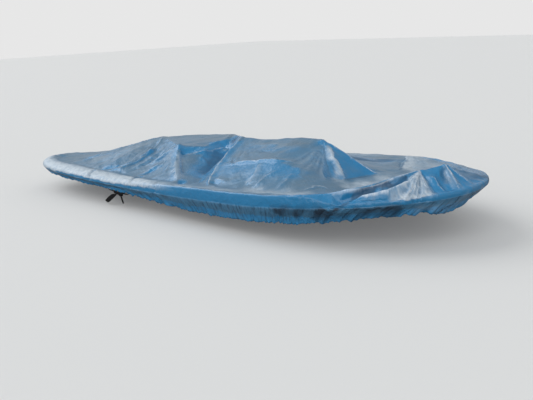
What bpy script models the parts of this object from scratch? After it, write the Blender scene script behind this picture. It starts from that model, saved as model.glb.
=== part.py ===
"""A fitted boat cover: one sheet of coated cloth with a gathered hem, and the tape tie at its hem.

Metres, +Z up. +X runs to the bow and -Y to the near side. The origin lies at the middle of the length,
at the height of the edge under which the skirt turns in.
"""
import math

import bmesh
import bpy
import numpy as np
from mathutils import Vector
from mathutils.bvhtree import BVHTree
from mathutils.geometry import delaunay_2d_cdt

# ---------------------------------------------------------------- driving dimensions
LENGTH = 3.10               # over the turned edge, stern to bow
BEAM = 1.28                 # over the turned edge, at the middle
SHEET = 0.0020              # coated cloth
GAP = 0.0003                # between neighbouring pieces

BOW_FROM = 0.553            # where the sides begin to round in to the bow
STERN_FROM = -0.497         # where they begin to round in to the stern
BOW_ROUND = (2.06, 2.08)    # superellipse powers, along and across
STERN_ROUND = (5.6, 6.4)

ARC_STEPS = 400             # steps with which each quarter of the plan is measured

SHEER_TILT = 0.075          # how the edge rises to the bow: a slope and a bow-shaped part
SHEER_CURVE = 0.231
STERN_SAG = 0.046           # the edge sags across the stern, deepest at this place across
SAG_MIDDLE = 0.15
SAG_HALF = 0.50
SAG_SPAN = (1.38, 1.50)     # it begins this far aft and is full from there

# Each place below is along the boat, unless it says across. A pair of places is where one size begins to
# change into the next, and where it has done so.
AFT_TO_FORE = (-0.50, 0.40)
LIP_STERN = 0.030           # how far the cloth rises above the turned edge, at the stern
LIP_AFT = 0.050             # along the near side, aft
LIP_NEAR = (0.22, 0.55)     # across, from the middle to the near side
LIP_SIDE = 0.060            # along the fore half
LIP_BOW = 0.022             # at the bow, near side
LIP_FALL = (1.00, 1.13)
LIP_BOW_FAR = 0.029         # and far side, where it falls more slowly
LIP_FALL_FAR = (0.88, 1.32)
BOW_ACROSS = 0.15           # near and far meet within this far of the middle
ROLL_AFT = 0.044            # how far down the roll over the edge reaches, aft, where it is soft
ROLL_FORE = 0.013           # and forward, where it is crisp
ROLL_WIDE_AFT = 1.9         # how many times as far in as down it reaches
ROLL_WIDE_FORE = 1.0
ROLL_SPAN = (-0.70, 0.30)
GUTTER_INSET_AFT = 0.130    # the cloth sinks a little inside the edge
GUTTER_INSET_FORE = 0.105
GUTTER_AFT = 0.014
GUTTER_FORE = 0.005
DROP_STERN = 0.046          # how far the hem hangs below the turned edge, at the stern
DROP_SIDE = 0.092
DROP_SPAN = (-0.70, 0.40)
DROP_BOW = 0.070
DROP_BOW_SPAN = (0.90, 1.30)
DROP_TIP_NEAR = 0.084       # right at the bow, near side
DROP_TIP_FAR = 0.046        # and far side
DROP_TIP_SPAN = (1.42, 1.53)
TIP_ACROSS = (-0.10, 0.07)  # across, near and far meet here

RIM_STEPS = 184             # points round the edge
TOP_STEP = 0.058            # spacing of the points on the top
FOLD_STEP = 0.045           # spacing of the points along a fold
FOLD_CLEAR = 0.026          # filler points keep this far from a fold
GUTTER_SPAN = (-1.45, 0.95)     # the trough inside the edge runs between these places
RELAX_ROUNDS = 3            # how often the free points settle between the folds
ONE_POINT = 1e-5            # places closer than this are one point
OVERHEAD = 5.0              # a height above everything

# rings of the edge above the turn, from the top down: degrees round the roll
ROLL_RINGS = (90, 52, 20)
# and from the turn down: inset, share of the drop, share of the gathers
SKIRT_RINGS = (
    # name         inset   drop   gather
    ("turn",       0.000,  0.00,  0.1),
    ("tuck",       0.013,  0.32,  0.5),
    ("skirt",      0.032,  0.68,  0.9),
    ("hem",        0.046,  1.00,  1.0),
)
GATHER_DEPTH = 0.0050       # in and out of the skirt
GATHER_RISE = 0.0035        # up and down of the hem
# gathers as waves round the edge: waves in one round, share, phase
GATHERS = (
    (71, 0.50, 0.4),
    (53, 0.35, 1.9),
    (31, 0.35, 4.1),
)
GATHER_CALM = (0.12, 0.24)  # the tie holds the hem even within the first, and no more beyond the second
HEM_SHARE = (0.7, 1.0)      # shares of the drop over which the hem begins to go up and down

# The tie hangs on the near side of the hem. Its tables count along the hem from its middle, out from the
# hem, and up from the hem's lower edge, so that up is negative all over.
TIE_MIDDLE = -0.506
TIE_REACH = 0.50            # no piece of the tie is further along than this
TAPE = 0.0022               # thickness of the black tape
HEM_EDGE_MIDDLE = 0.0007    # from the outer face of the hem's lower edge to its middle
KNOT_SIDES = 12
KNOT_SQUARENESS = 0.6       # 1 gives an oval section, less a squarer one
KNOT_SECTIONS = (
    # name          along    depth   height
    ("aft end",    -0.046,  0.004,  0.010),
    ("aft turn",   -0.041,  0.008,  0.017),
    ("aft flat",   -0.030,  0.010,  0.020),
    ("waist",       0.006,  0.010,  0.020),
    ("wrap aft",    0.014,  0.015,  0.026),
    ("wrap middle", 0.028,  0.018,  0.026),
    ("wrap fore",   0.041,  0.015,  0.024),
    ("fore end",    0.046,  0.006,  0.011),
)
# Tapes by their sections: the middle of each, its width, and the turn of its width from level in degrees.
TAPES = {
    "tie_tail_long": (
        # name      along    out      up      width   turn
        ("root",   -0.028,  0.000, -0.0203,  0.026,    0),
        ("bend",   -0.045,  0.003, -0.0300,  0.029,  -26),
        ("upper",  -0.070,  0.005, -0.0450,  0.031,  -48),
        ("lower",  -0.103,  0.004, -0.0660,  0.031,  -44),
        ("end",    -0.134,  0.001, -0.0830,  0.031,  -20),
    ),
    "tie_tail_short": (
        ("root",    0.030,  0.000, -0.0263,  0.015,    0),
        ("bend",    0.037,  0.003, -0.0340,  0.016,   12),
        ("twist",   0.046,  0.005, -0.0470,  0.014,   22),
        ("end",     0.052,  0.003, -0.0660,  0.014,    8),
    ),
    "tie_run_aft": (
        ("knot",   -0.0463, 0.000, -0.0035,  0.007,   90),
        ("middle", -0.072,  0.000, -0.0030,  0.006,   90),
        ("end",    -0.098,  0.000, -0.0020,  0.004,   90),
    ),
    "tie_run_fore": (
        ("knot",    0.0463, 0.000, -0.0045,  0.009,   90),
        ("middle",  0.076,  0.000, -0.0040,  0.008,   90),
        ("end",     0.106,  0.000, -0.0020,  0.004,   90),
    ),
}

# Points that hold the cloth up or down: along, across, height. The seats below the cloth give the two
# humps, and the bow fitting gives the two low peaks forward.
SUPPORTS = {
    "stern slope":        (-1.23,  0.02, 0.066),
    "aft point":          (-0.79,  0.00, 0.181),
    "aft near corner":    (-0.38, -0.20, 0.180),
    "aft lip near":       (-0.25, -0.10, 0.173),
    "aft lip middle":     (-0.25,  0.02, 0.189),
    "aft far corner":     (-0.30,  0.20, 0.203),
    "aft far side":       (-0.54,  0.19, 0.188),
    "drop near":          (-0.31, -0.23, 0.130),
    "drop lip":           (-0.20, -0.14, 0.142),
    "drop middle":        (-0.20,  0.02, 0.146),
    "drop far":           (-0.16,  0.06, 0.178),
    "bridge":             (-0.15,  0.10, 0.215),
    "corner fold middle": (-0.20, -0.35, 0.099),
    "corner fold foot":   ( 0.02, -0.55, 0.047),
    "pocket end":         (-0.46, -0.36, 0.074),
    "fan stern middle":   (-0.98, -0.20, 0.120),
    "fan stern end":      (-1.14, -0.42, 0.056),
    "fan side middle":    (-0.80, -0.24, 0.130),
    "fan side end":       (-0.80, -0.47, 0.054),
    "fan fore middle":    (-0.655, -0.22, 0.138),
    "fan fore end":       (-0.65, -0.46, 0.058),
    "side streak top":    (-0.735, -0.15, 0.142),
    "side streak middle": (-0.72, -0.29, 0.100),
    "side streak end":    (-0.72, -0.46, 0.044),
    "fore streak top":    (-0.60, -0.21, 0.122),
    "fore streak middle": (-0.60, -0.32, 0.083),
    "fore streak end":    (-0.59, -0.45, 0.045),
    "low pocket top":     (-0.52, -0.24, 0.112),
    "low pocket end":     (-0.44, -0.46, 0.038),
    "valley foot":        ( 0.10, -0.485, 0.034),
    "valley near":        (-0.05, -0.25, 0.062),
    "valley middle":      (-0.13, -0.04, 0.105),
    "far corner middle":  (-0.19,  0.36, 0.108),
    "far corner foot":    (-0.06,  0.54, 0.048),
    "far pocket end":     (-0.44,  0.37, 0.076),
    "far valley top":     (-0.10,  0.14, 0.190),
    "far valley":         (-0.04,  0.32, 0.090),
    "far valley foot":    ( 0.04,  0.50, 0.045),
    "mid aft point":      (-0.01,  0.00, 0.231),
    "mid aft near":       ( 0.09, -0.25, 0.148),
    "mid aft foot":       ( 0.20, -0.46, 0.081),
    "mid top aft":        ( 0.19,  0.00, 0.232),
    "mid top fore":       ( 0.49,  0.00, 0.267),
    "mid fore point":     ( 0.63,  0.00, 0.270),
    "mid edge aft":       ( 0.28, -0.30, 0.162),
    "mid edge middle":    ( 0.55, -0.30, 0.187),
    "mid edge fore":      ( 0.74, -0.29, 0.163),
    "near streak top":    ( 0.45, -0.34, 0.162),
    "near streak foot":   ( 0.52, -0.49, 0.080),
    "far edge aft":       ( 0.09,  0.25, 0.148),
    "far edge middle":    ( 0.45,  0.26, 0.152),
    "far edge fore":      ( 0.66,  0.20, 0.122),
    "fore ridge middle":  ( 0.74, -0.07, 0.178),
    "fore ridge foot":    ( 0.86, -0.14, 0.084),
    "fore crease foot":   ( 0.92,  0.06, 0.101),
    "deck near":          ( 1.07, -0.32, 0.068),
    "deck middle":        ( 1.10,  0.00, 0.082),
    "deck far":           ( 0.98,  0.34, 0.081),
    "bow shoulder":       ( 1.02, -0.54, 0.109),
    "bow ridge start":    ( 1.09, -0.502, 0.117),
    "bow ridge low":      ( 1.21, -0.43, 0.141),
    "bow ridge high":     ( 1.28, -0.35, 0.166),
    "bow ridge top":      ( 1.31, -0.24, 0.180),
    "bow peak":           ( 1.32, -0.12, 0.182),
    "bow trough low":     ( 1.13, -0.492, 0.082),
    "bow trough middle":  ( 1.20, -0.446, 0.106),
    "bow trough high":    ( 1.29, -0.375, 0.135),
    "bow trough top":     ( 1.33, -0.255, 0.155),
    "second ridge low":   ( 1.18, -0.472, 0.096),
    "second ridge middle": ( 1.25, -0.442, 0.114),
    "second ridge high":  ( 1.33, -0.385, 0.141),
    "second ridge top":   ( 1.36, -0.260, 0.162),
    "bow fan middle":     ( 1.40, -0.155, 0.155),
    "bow fan end":        ( 1.467, -0.18, 0.112),
    "bow top":            ( 1.39, -0.02, 0.202),
    "tip trough top":     ( 1.41, -0.090, 0.162),
    "tip trough end":     ( 1.485, -0.135, 0.106),
    "tip near middle":    ( 1.45, -0.062, 0.165),
    "tip near end":       ( 1.500, -0.095, 0.120),
    "tip far middle":     ( 1.455, 0.035, 0.156),
    "tip far end":        ( 1.505, 0.040, 0.121),
    "bow far ridge":      ( 1.33,  0.22, 0.160),
    "bow far low":        ( 1.20,  0.42, 0.112),
    "far fold top":       ( 0.78,  0.58, 0.103),
    "far fold foot":      ( 0.97,  0.22, 0.092),
}
# Folds run from point to point. A fold marked True has a twin on the far side.
FOLDS = (
    # name              twin    points
    ("aft spine",       False, ("stern slope", "aft point")),
    ("aft near edge",   False, ("aft point", "aft near corner")),
    ("aft fore edge",   False, ("aft near corner", "aft lip near", "aft lip middle", "aft far corner")),
    ("aft far edge",    False, ("aft point", "aft far side", "aft far corner")),
    ("aft drop",        False, ("drop near", "drop lip", "drop middle", "drop far")),
    ("bridge",          False, ("aft far corner", "bridge", "mid aft point")),
    ("stern fan",       True,  ("aft point", "fan stern middle", "fan stern end")),
    ("side fan",        True,  ("aft point", "fan side middle", "fan side end")),
    ("fore fan",        True,  ("fan fore middle", "fan fore end")),
    ("side streak",     False, ("side streak top", "side streak middle", "side streak end")),
    ("fore streak",     False, ("fore streak top", "fore streak middle", "fore streak end")),
    ("corner fold",     False, ("aft near corner", "corner fold middle", "corner fold foot")),
    ("pocket",          False, ("aft near corner", "pocket end")),
    ("low pocket",      False, ("low pocket top", "low pocket end")),
    ("far corner fold", False, ("aft far corner", "far corner middle", "far corner foot")),
    ("far pocket",      False, ("aft far corner", "far pocket end")),
    ("valley",          False, ("valley foot", "valley near", "valley middle", "drop far")),
    ("far valley",      False, ("far valley top", "far valley", "far valley foot")),
    ("mid aft ridge",   True,  ("mid aft point", "mid aft near", "mid aft foot")),
    ("mid top",         False, ("mid aft point", "mid top aft", "mid top fore", "mid fore point")),
    ("mid seat edge",   False, ("mid aft near", "mid edge aft", "mid edge middle", "mid edge fore")),
    ("near streak",     False, ("near streak top", "near streak foot")),
    ("far seat edge",   False, ("far edge aft", "far edge middle", "far edge fore")),
    ("fore ridge",      False, ("mid fore point", "fore ridge middle", "fore ridge foot")),
    ("fore crease",     False, ("mid fore point", "fore crease foot")),
    ("fore foot",       False, ("fore ridge foot", "fore crease foot")),
    ("deck",            False, ("deck near", "deck middle", "deck far")),
    ("bow ridge",       False, ("bow shoulder", "bow ridge start", "bow ridge low", "bow ridge high",
                                "bow ridge top", "bow peak", "bow top")),
    ("bow trough",      False, ("bow trough low", "bow trough middle", "bow trough high", "bow trough top")),
    ("second ridge",    False, ("second ridge low", "second ridge middle", "second ridge high",
                                "second ridge top", "bow peak")),
    ("bow fan",         False, ("bow peak", "bow fan middle", "bow fan end")),
    ("tip trough",      False, ("tip trough top", "tip trough end")),
    ("tip near fold",   False, ("bow top", "tip near middle", "tip near end")),
    ("tip far fold",    False, ("bow top", "tip far middle", "tip far end")),
    ("bow far ridge",   False, ("bow top", "bow far ridge", "bow far low")),
    ("far fold",        False, ("far fold top", "far fold foot")),
)


def smooth(low, high, value):
    """0 below low, 1 above high and an even S between."""
    t = np.clip((np.asarray(value, float) - low) / (high - low), 0.0, 1.0)
    return t * t * (3.0 - 2.0 * t)


def sheer(x, y):
    """Height of the turned edge, which sags across the stern."""
    rise = SHEER_TILT * x / LENGTH + SHEER_CURVE * (x / LENGTH) ** 2
    across = 1 - smooth(0.0, SAG_HALF, np.abs(y - SAG_MIDDLE))
    return rise - STERN_SAG * across * smooth(*SAG_SPAN, -np.asarray(x))


def lip(x, y):
    """How far the cloth rises above the turned edge."""
    aft = LIP_STERN + (LIP_AFT - LIP_STERN) * smooth(*LIP_NEAR, -np.asarray(y))
    side = aft + (LIP_SIDE - aft) * smooth(*AFT_TO_FORE, x)
    near = (LIP_BOW - LIP_SIDE) * smooth(*LIP_FALL, x)
    far = (LIP_BOW_FAR - LIP_SIDE) * smooth(*LIP_FALL_FAR, x)
    return side + near + (far - near) * smooth(-BOW_ACROSS, BOW_ACROSS, y)


def roll(x, y):
    """How far down and how far in the roll over the edge reaches. It is never deeper than the lip."""
    fore = smooth(*ROLL_SPAN, x)
    down = np.minimum(ROLL_AFT + (ROLL_FORE - ROLL_AFT) * fore, lip(x, y))
    return down, down * (ROLL_WIDE_AFT + (ROLL_WIDE_FORE - ROLL_WIDE_AFT) * fore)


def drop(x, y):
    """How far the hem hangs below the turned edge."""
    side = DROP_STERN + (DROP_SIDE - DROP_STERN) * smooth(*DROP_SPAN, x)
    bow = side + (DROP_BOW - DROP_SIDE) * smooth(*DROP_BOW_SPAN, x)
    tip = DROP_TIP_NEAR + (DROP_TIP_FAR - DROP_TIP_NEAR) * smooth(*TIP_ACROSS, y)
    return bow + (tip - DROP_BOW) * smooth(*DROP_TIP_SPAN, x)


def outline(steps):
    """The plan of the turned edge as evenly spaced points, counter-clockwise from the bow, with the
    inward direction at each."""
    quarter = np.linspace(0.0, math.pi / 2, ARC_STEPS)
    sine, cosine = np.sin(quarter), np.cos(quarter)
    half, side = LENGTH / 2, BEAM / 2
    bow_x = BOW_FROM + (half - BOW_FROM) * cosine ** (2 / BOW_ROUND[0])
    bow_y = side * sine ** (2 / BOW_ROUND[1])
    stern_x = STERN_FROM - (half + STERN_FROM) * sine ** (2 / STERN_ROUND[0])
    stern_y = side * cosine ** (2 / STERN_ROUND[1])
    far_x = np.concatenate([bow_x, stern_x])
    far_y = np.concatenate([bow_y, stern_y])
    x = np.concatenate([far_x, far_x[-2::-1]])
    y = np.concatenate([far_y, -far_y[-2::-1]])
    run = np.concatenate([[0.0], np.cumsum(np.hypot(np.diff(x), np.diff(y)))])
    at = np.arange(steps) * run[-1] / steps
    points = np.stack([np.interp(at, run, x), np.interp(at, run, y)], axis=1)
    along = np.roll(points, -1, axis=0) - np.roll(points, 1, axis=0)
    along /= np.linalg.norm(along, axis=1)[:, None]
    inward = np.stack([-along[:, 1], along[:, 0]], axis=1)
    return points, inward


def roll_ring(degrees, points, inward):
    """A ring on the roll over the edge, as 3-D points."""
    x, y = points.T
    down, into = roll(x, y)
    angle = math.radians(degrees)
    plan = points + inward * (into * (1 - math.cos(angle)))[:, None]
    height = sheer(x, y) + lip(x, y) - down * (1 - math.sin(angle))
    return np.column_stack([plan, height])


def skirt_ring(row, points, inward):
    """A ring of the skirt, gathered more the nearer it is to the hem."""
    _, inset, drop_share, gather = row
    turn = np.arange(len(points)) * 2 * math.pi / len(points)
    wave = sum(share * np.sin(count * turn + phase) for count, share, phase in GATHERS)
    from_tie = np.where(points[:, 1] < 0, np.abs(points[:, 0] - TIE_MIDDLE), GATHER_CALM[1])
    wave = wave * smooth(*GATHER_CALM, from_tie)
    plan = points + inward * (inset + gather * GATHER_DEPTH * wave)[:, None]
    x, y = points.T
    rise = GATHER_RISE * np.roll(wave, 1) * smooth(*HEM_SHARE, drop_share)
    return np.column_stack([plan, sheer(x, y) - drop_share * drop(x, y) + rise])


def gutter(points, inward, lines):
    """Points along the shallow trough inside the edge, but for those that a fold runs over."""
    x, y = points.T
    fore = smooth(*AFT_TO_FORE, x)
    inset = GUTTER_INSET_AFT + (GUTTER_INSET_FORE - GUTTER_INSET_AFT) * fore
    depth = GUTTER_AFT + (GUTTER_FORE - GUTTER_AFT) * fore
    line = np.column_stack([points + inward * inset[:, None], sheer(x, y) + lip(x, y) - depth])
    folds = np.array([p for fold in lines for p in split_line(fold, FOLD_CLEAR)])
    clear = [np.min(np.hypot(*(folds[:, :2] - p[:2]).T)) > FOLD_CLEAR for p in line]
    return [tuple(p) for p in line[clear & (x > GUTTER_SPAN[0]) & (x < GUTTER_SPAN[1])]]


def fold_lines():
    """Every fold as a list of 3-D corner points, far twins included."""
    lines = []
    for _, twin, names in FOLDS:
        corners = [SUPPORTS[name] for name in names]
        lines.append(corners)
        if twin:
            lines.append([(x, -y, z) for x, y, z in corners])
    return lines


def net_surface(rim, lines, loose):
    """The flat facets between the folds and the rim, as a tree that answers height at a place."""
    places = [tuple(p) for p in rim]
    edges = [(i, (i + 1) % len(rim)) for i in range(len(rim))]
    places.extend(loose)
    for line in lines:
        for i, corner in enumerate(line):
            places.append(tuple(corner))
            if i:
                edges.append((len(places) - 2, len(places) - 1))
    flat = [Vector(p[:2]) for p in places]
    verts, _, faces, origins, _, _ = delaunay_2d_cdt(flat, edges, [], 1, ONE_POINT)
    heights = [places[ids[0]][2] if ids else None for ids in origins]
    if None in heights:
        raise ValueError("two folds cross away from a shared point")
    solid = [(v.x, v.y, h) for v, h in zip(verts, heights)]
    return BVHTree.FromPolygons(solid, faces)


def height_on(tree, x, y):
    """Height of the net at a place, or None outside it."""
    hit = tree.ray_cast(Vector((x, y, OVERHEAD)), Vector((0.0, 0.0, -1.0)))[0]
    return None if hit is None else hit.z


def split_line(line, step):
    """Points along a fold, no further apart than step."""
    points = [line[0]]
    for start, end in zip(line, line[1:]):
        span = math.hypot(end[0] - start[0], end[1] - start[1])
        count = max(1, round(span / step))
        for k in range(1, count + 1):
            t = k / count
            points.append(tuple(a + (b - a) * t for a, b in zip(start, end)))
    return points


def make_top(rim, lines, loose):
    """The top as points and triangles whose edges run along the folds."""
    tree = net_surface(rim, lines, loose)
    places = [tuple(p) for p in rim]
    edges = [(i, (i + 1) % len(rim)) for i in range(len(rim))]
    places.extend(loose)
    for line in lines:
        split = split_line(line, FOLD_STEP)
        start = len(places)
        places.extend(split)
        edges.extend((start + i, start + i + 1) for i in range(len(split) - 1))
    held = np.array([p[:2] for p in places])
    pinned = len(places)
    row = 0
    y = -BEAM / 2
    while y < BEAM / 2:
        x = -LENGTH / 2 + (row % 2) * TOP_STEP / 2
        while x < LENGTH / 2:
            height = height_on(tree, x, y)
            clear = np.min(np.hypot(held[:, 0] - x, held[:, 1] - y)) > FOLD_CLEAR
            if height is not None and clear:
                places.append((x, y, height))
            x += TOP_STEP
        y += TOP_STEP * math.sqrt(3) / 2
        row += 1
    flat = [Vector(p[:2]) for p in places]
    verts, _, faces, origins, _, _ = delaunay_2d_cdt(flat, edges, [], 1, ONE_POINT)
    points = np.array([places[ids[0]] for ids in origins])
    fixed = np.array([ids[0] < pinned for ids in origins])
    return settle(points, fixed, faces), faces, [ids[0] for ids in origins]


def settle(points, fixed, faces):
    """Free points drop or rise to the mean of their neighbours, as a taut sheet does."""
    neighbours = [set() for _ in points]
    for face in faces:
        for a, b in zip(face, face[1:] + face[:1]):
            neighbours[a].add(b)
            neighbours[b].add(a)
    for _ in range(RELAX_ROUNDS):
        heights = points[:, 2].copy()
        for i, near in enumerate(neighbours):
            if not fixed[i] and near:
                points[i, 2] = heights[list(near)].mean()
    return points


def make_cover(collection):
    """The whole sheet: the top, the rings of the edge below it, and the thickness inwards."""
    points, inward = outline(RIM_STEPS)
    rings = [roll_ring(degrees, points, inward) for degrees in ROLL_RINGS]
    rings += [skirt_ring(row, points, inward) for row in SKIRT_RINGS]
    lines = fold_lines()
    top, faces, origin = make_top(rings[0], lines, gutter(points, inward, lines))
    mesh = bmesh.new()
    verts = [mesh.verts.new(p) for p in top]
    rim = {origin[i]: verts[i] for i in range(len(verts)) if origin[i] < RIM_STEPS}
    for face in faces:
        mesh.faces.new([verts[i] for i in face])
    above = [rim[i] for i in range(RIM_STEPS)]
    for heights in rings[1:]:
        below = [mesh.verts.new(p) for p in heights]
        for i in range(RIM_STEPS):
            j = (i + 1) % RIM_STEPS
            mesh.faces.new((above[i], below[i], below[j], above[j]))
        above = below
    bmesh.ops.recalc_face_normals(mesh, faces=mesh.faces)
    data = bpy.data.meshes.new("cover_sheet")
    mesh.to_mesh(data)
    mesh.free()
    cover = bpy.data.objects.new("cover_sheet", data)
    collection.objects.link(cover)
    wall = cover.modifiers.new("cloth thickness", "SOLIDIFY")
    wall.thickness = SHEET
    wall.offset = -1.0
    wall.use_even_offset = True
    data.materials.append(coated_cloth())
    return cover


def hem_places():
    """A function that turns along, out and up at the tie into a place under the hem's lower edge."""
    ring = skirt_ring(SKIRT_RINGS[-1], *outline(RIM_STEPS))
    near = ring[(ring[:, 1] < 0) & (np.abs(ring[:, 0] - TIE_MIDDLE) < TIE_REACH)]
    near = near[np.argsort(near[:, 0])]

    def place(along, out, up):
        x = TIE_MIDDLE + along
        y = np.interp(x, near[:, 0], near[:, 1]) + HEM_EDGE_MIDDLE - out
        z = np.interp(x, near[:, 0], near[:, 2]) - GAP + up
        return x, y, z

    return place


def keep_mesh(mesh, name, collection, material):
    """The finished shape as a named object."""
    bmesh.ops.recalc_face_normals(mesh, faces=mesh.faces)
    data = bpy.data.meshes.new(name)
    mesh.to_mesh(data)
    mesh.free()
    data.materials.append(material)
    item = bpy.data.objects.new(name, data)
    collection.objects.link(item)
    return item


def make_knot(collection, place):
    """The flat knot with its thicker wrap, lofted through its sections."""
    mesh = bmesh.new()
    before = None
    for _, along, depth, height in KNOT_SECTIONS:
        ring = []
        for k in range(KNOT_SIDES):
            angle = 2 * math.pi * k / KNOT_SIDES
            out, up = [math.copysign(abs(v) ** KNOT_SQUARENESS, v) for v in (math.cos(angle), math.sin(angle))]
            ring.append(mesh.verts.new(place(along, out * depth / 2, (up - 1) * height / 2)))
        if before is None:
            mesh.faces.new(ring)
        else:
            for k in range(KNOT_SIDES):
                j = (k + 1) % KNOT_SIDES
                mesh.faces.new((before[k], before[j], ring[j], ring[k]))
        before = ring
    mesh.faces.new(before)
    return keep_mesh(mesh, "tie_knot", collection, black_tape("knot"))


def make_tape(name, sections, collection, place):
    """A flat tape through its sections."""
    mesh = bmesh.new()
    before = None
    for _, along, out, up, width, turn in sections:
        across = width / 2 * math.cos(math.radians(turn))
        rise = width / 2 * math.sin(math.radians(turn))
        ends = [mesh.verts.new(place(along + side * across, out, up + side * rise)) for side in (-1, 1)]
        if before:
            mesh.faces.new((before[0], before[1], ends[1], ends[0]))
        before = ends
    tape = keep_mesh(mesh, name, collection, black_tape(name))
    wall = tape.modifiers.new("tape thickness", "SOLIDIFY")
    wall.thickness = TAPE
    wall.offset = 0.0
    return tape


def coated_cloth():
    """Blue coated cloth with a soft shine."""
    material = bpy.data.materials.new("coated cloth")
    material.use_nodes = True
    shader = material.node_tree.nodes["Principled BSDF"]
    shader.inputs["Base Color"].default_value = (0.035, 0.165, 0.340, 1.0)
    shader.inputs["Roughness"].default_value = 0.30
    shader.inputs["Metallic"].default_value = 0.0
    return material


def black_tape(name):
    """Black woven tape."""
    material = bpy.data.materials.new(name + " tape")
    material.use_nodes = True
    shader = material.node_tree.nodes["Principled BSDF"]
    shader.inputs["Base Color"].default_value = (0.012, 0.012, 0.013, 1.0)
    shader.inputs["Roughness"].default_value = 0.80
    shader.inputs["Metallic"].default_value = 0.0
    return material


def main():
    for item in list(bpy.data.objects):
        bpy.data.objects.remove(item, do_unlink=True)
    collection = bpy.data.collections.new("boat_cover")
    bpy.context.scene.collection.children.link(collection)
    make_cover(collection)
    place = hem_places()
    make_knot(collection, place)
    for name, sections in TAPES.items():
        make_tape(name, sections, collection, place)


main()
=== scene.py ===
# %% [markdown]
# # A fitted boat cover
# This lesson dresses a boat cover: a sheet of blue coated cloth that is draped in two humps and the low peaks
# at its bow, rolls over an edge all round and is gathered under it. The solids of the cover come first, as a
# fixed frame. They say where the cloth is, and everything that is made here lies on them.

# %% Load the solids
import math
from collections import namedtuple

import bmesh
import bpy
import numpy as np
from mathutils import Matrix, Vector


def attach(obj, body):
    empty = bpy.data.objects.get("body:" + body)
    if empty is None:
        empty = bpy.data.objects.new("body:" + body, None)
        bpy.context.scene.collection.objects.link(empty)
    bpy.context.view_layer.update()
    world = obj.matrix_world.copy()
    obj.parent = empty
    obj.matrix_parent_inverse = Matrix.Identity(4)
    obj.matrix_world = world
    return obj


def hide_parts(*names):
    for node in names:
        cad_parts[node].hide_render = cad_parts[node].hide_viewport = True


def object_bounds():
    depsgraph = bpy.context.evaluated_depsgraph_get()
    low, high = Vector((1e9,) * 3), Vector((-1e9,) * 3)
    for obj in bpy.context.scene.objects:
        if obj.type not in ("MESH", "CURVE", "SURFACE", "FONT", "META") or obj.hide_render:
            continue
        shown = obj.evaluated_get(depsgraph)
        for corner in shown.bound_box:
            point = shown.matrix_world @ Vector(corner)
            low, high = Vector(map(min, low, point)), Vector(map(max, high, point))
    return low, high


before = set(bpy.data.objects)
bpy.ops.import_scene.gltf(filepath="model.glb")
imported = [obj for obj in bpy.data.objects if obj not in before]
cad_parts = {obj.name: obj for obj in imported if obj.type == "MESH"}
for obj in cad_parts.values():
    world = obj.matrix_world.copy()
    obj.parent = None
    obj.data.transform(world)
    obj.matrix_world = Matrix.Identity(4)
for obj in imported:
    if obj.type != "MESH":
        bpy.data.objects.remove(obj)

cad_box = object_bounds()
print("solids:", sorted(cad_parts))

# %% [markdown]
# ## Camera
# The picture is taken from beside the bow, a little above the cover. The camera is placed by its angles round
# the middle of the cover, and it is turned a little about its own line of sight, because the horizon of the
# picture isn't quite level. The small shift puts the cover where it lies in the frame.

# %% Camera
IMAGE_WIDTH, IMAGE_HEIGHT = 533, 400
CAMERA_AZIMUTH = math.radians(46.5)
CAMERA_ELEVATION = math.radians(11.1)
CAMERA_DISTANCE = 4.69
CAMERA_ROLL = -0.048
FOCAL_PIXELS = 768
MIDDLE_PIXEL = (245.7, 174.9)       # where the origin of the cover lies in the picture
SENSOR = 36.0


def make_camera():
    """The camera at the picture's angle, made the scene's own."""
    a, e = CAMERA_AZIMUTH, CAMERA_ELEVATION
    back = Vector((math.sin(a) * math.cos(e), -math.cos(a) * math.cos(e), math.sin(e)))
    right = Vector((math.cos(a), math.sin(a), 0.0))
    up = back.cross(right)
    side = right * math.cos(CAMERA_ROLL) + up * math.sin(CAMERA_ROLL)
    top = up * math.cos(CAMERA_ROLL) - right * math.sin(CAMERA_ROLL)
    camera = bpy.data.objects.new("camera", bpy.data.cameras.new("camera"))
    bpy.context.scene.collection.objects.link(camera)
    turn = Matrix((side, top, back)).transposed().to_4x4()
    camera.matrix_world = Matrix.Translation(back * CAMERA_DISTANCE) @ turn
    camera.data.sensor_width = SENSOR
    camera.data.lens = FOCAL_PIXELS / IMAGE_WIDTH * SENSOR
    camera.data.shift_x = -(MIDDLE_PIXEL[0] - IMAGE_WIDTH / 2) / IMAGE_WIDTH
    camera.data.shift_y = (MIDDLE_PIXEL[1] - IMAGE_HEIGHT / 2) / IMAGE_WIDTH
    bpy.context.scene.camera = camera
    return camera


camera = make_camera()
print("camera at", tuple(round(v, 2) for v in camera.location), "lens", round(camera.data.lens, 1))

# %% [markdown]
# ## The cloth: from the solid to a sheet
# The solid of the sheet is 2 mm thick and made of about ten thousand flat triangles whose edges run along the
# folds. A real cloth bends softly between its folds. So the outer face of the solid is taken on its own,
# and it becomes the cage of a finer sheet. The strip of narrow faces along the hem joins the outer face to
# the inner one. Deleting that strip leaves two separate skins, and the one with the highest point is kept.

# %% Take the outer face of the solid
MERGE = 1e-5
HEM_STRIP = 0.0035      # faces with an edge shorter than this belong to the strip along the hem


def merged_solid(node_name):
    """A copy of a solid as a bmesh, its loose triangles joined at their corners."""
    solid = bmesh.new()
    solid.from_mesh(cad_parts[node_name].data)
    bmesh.ops.remove_doubles(solid, verts=solid.verts, dist=MERGE)
    return solid


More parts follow.
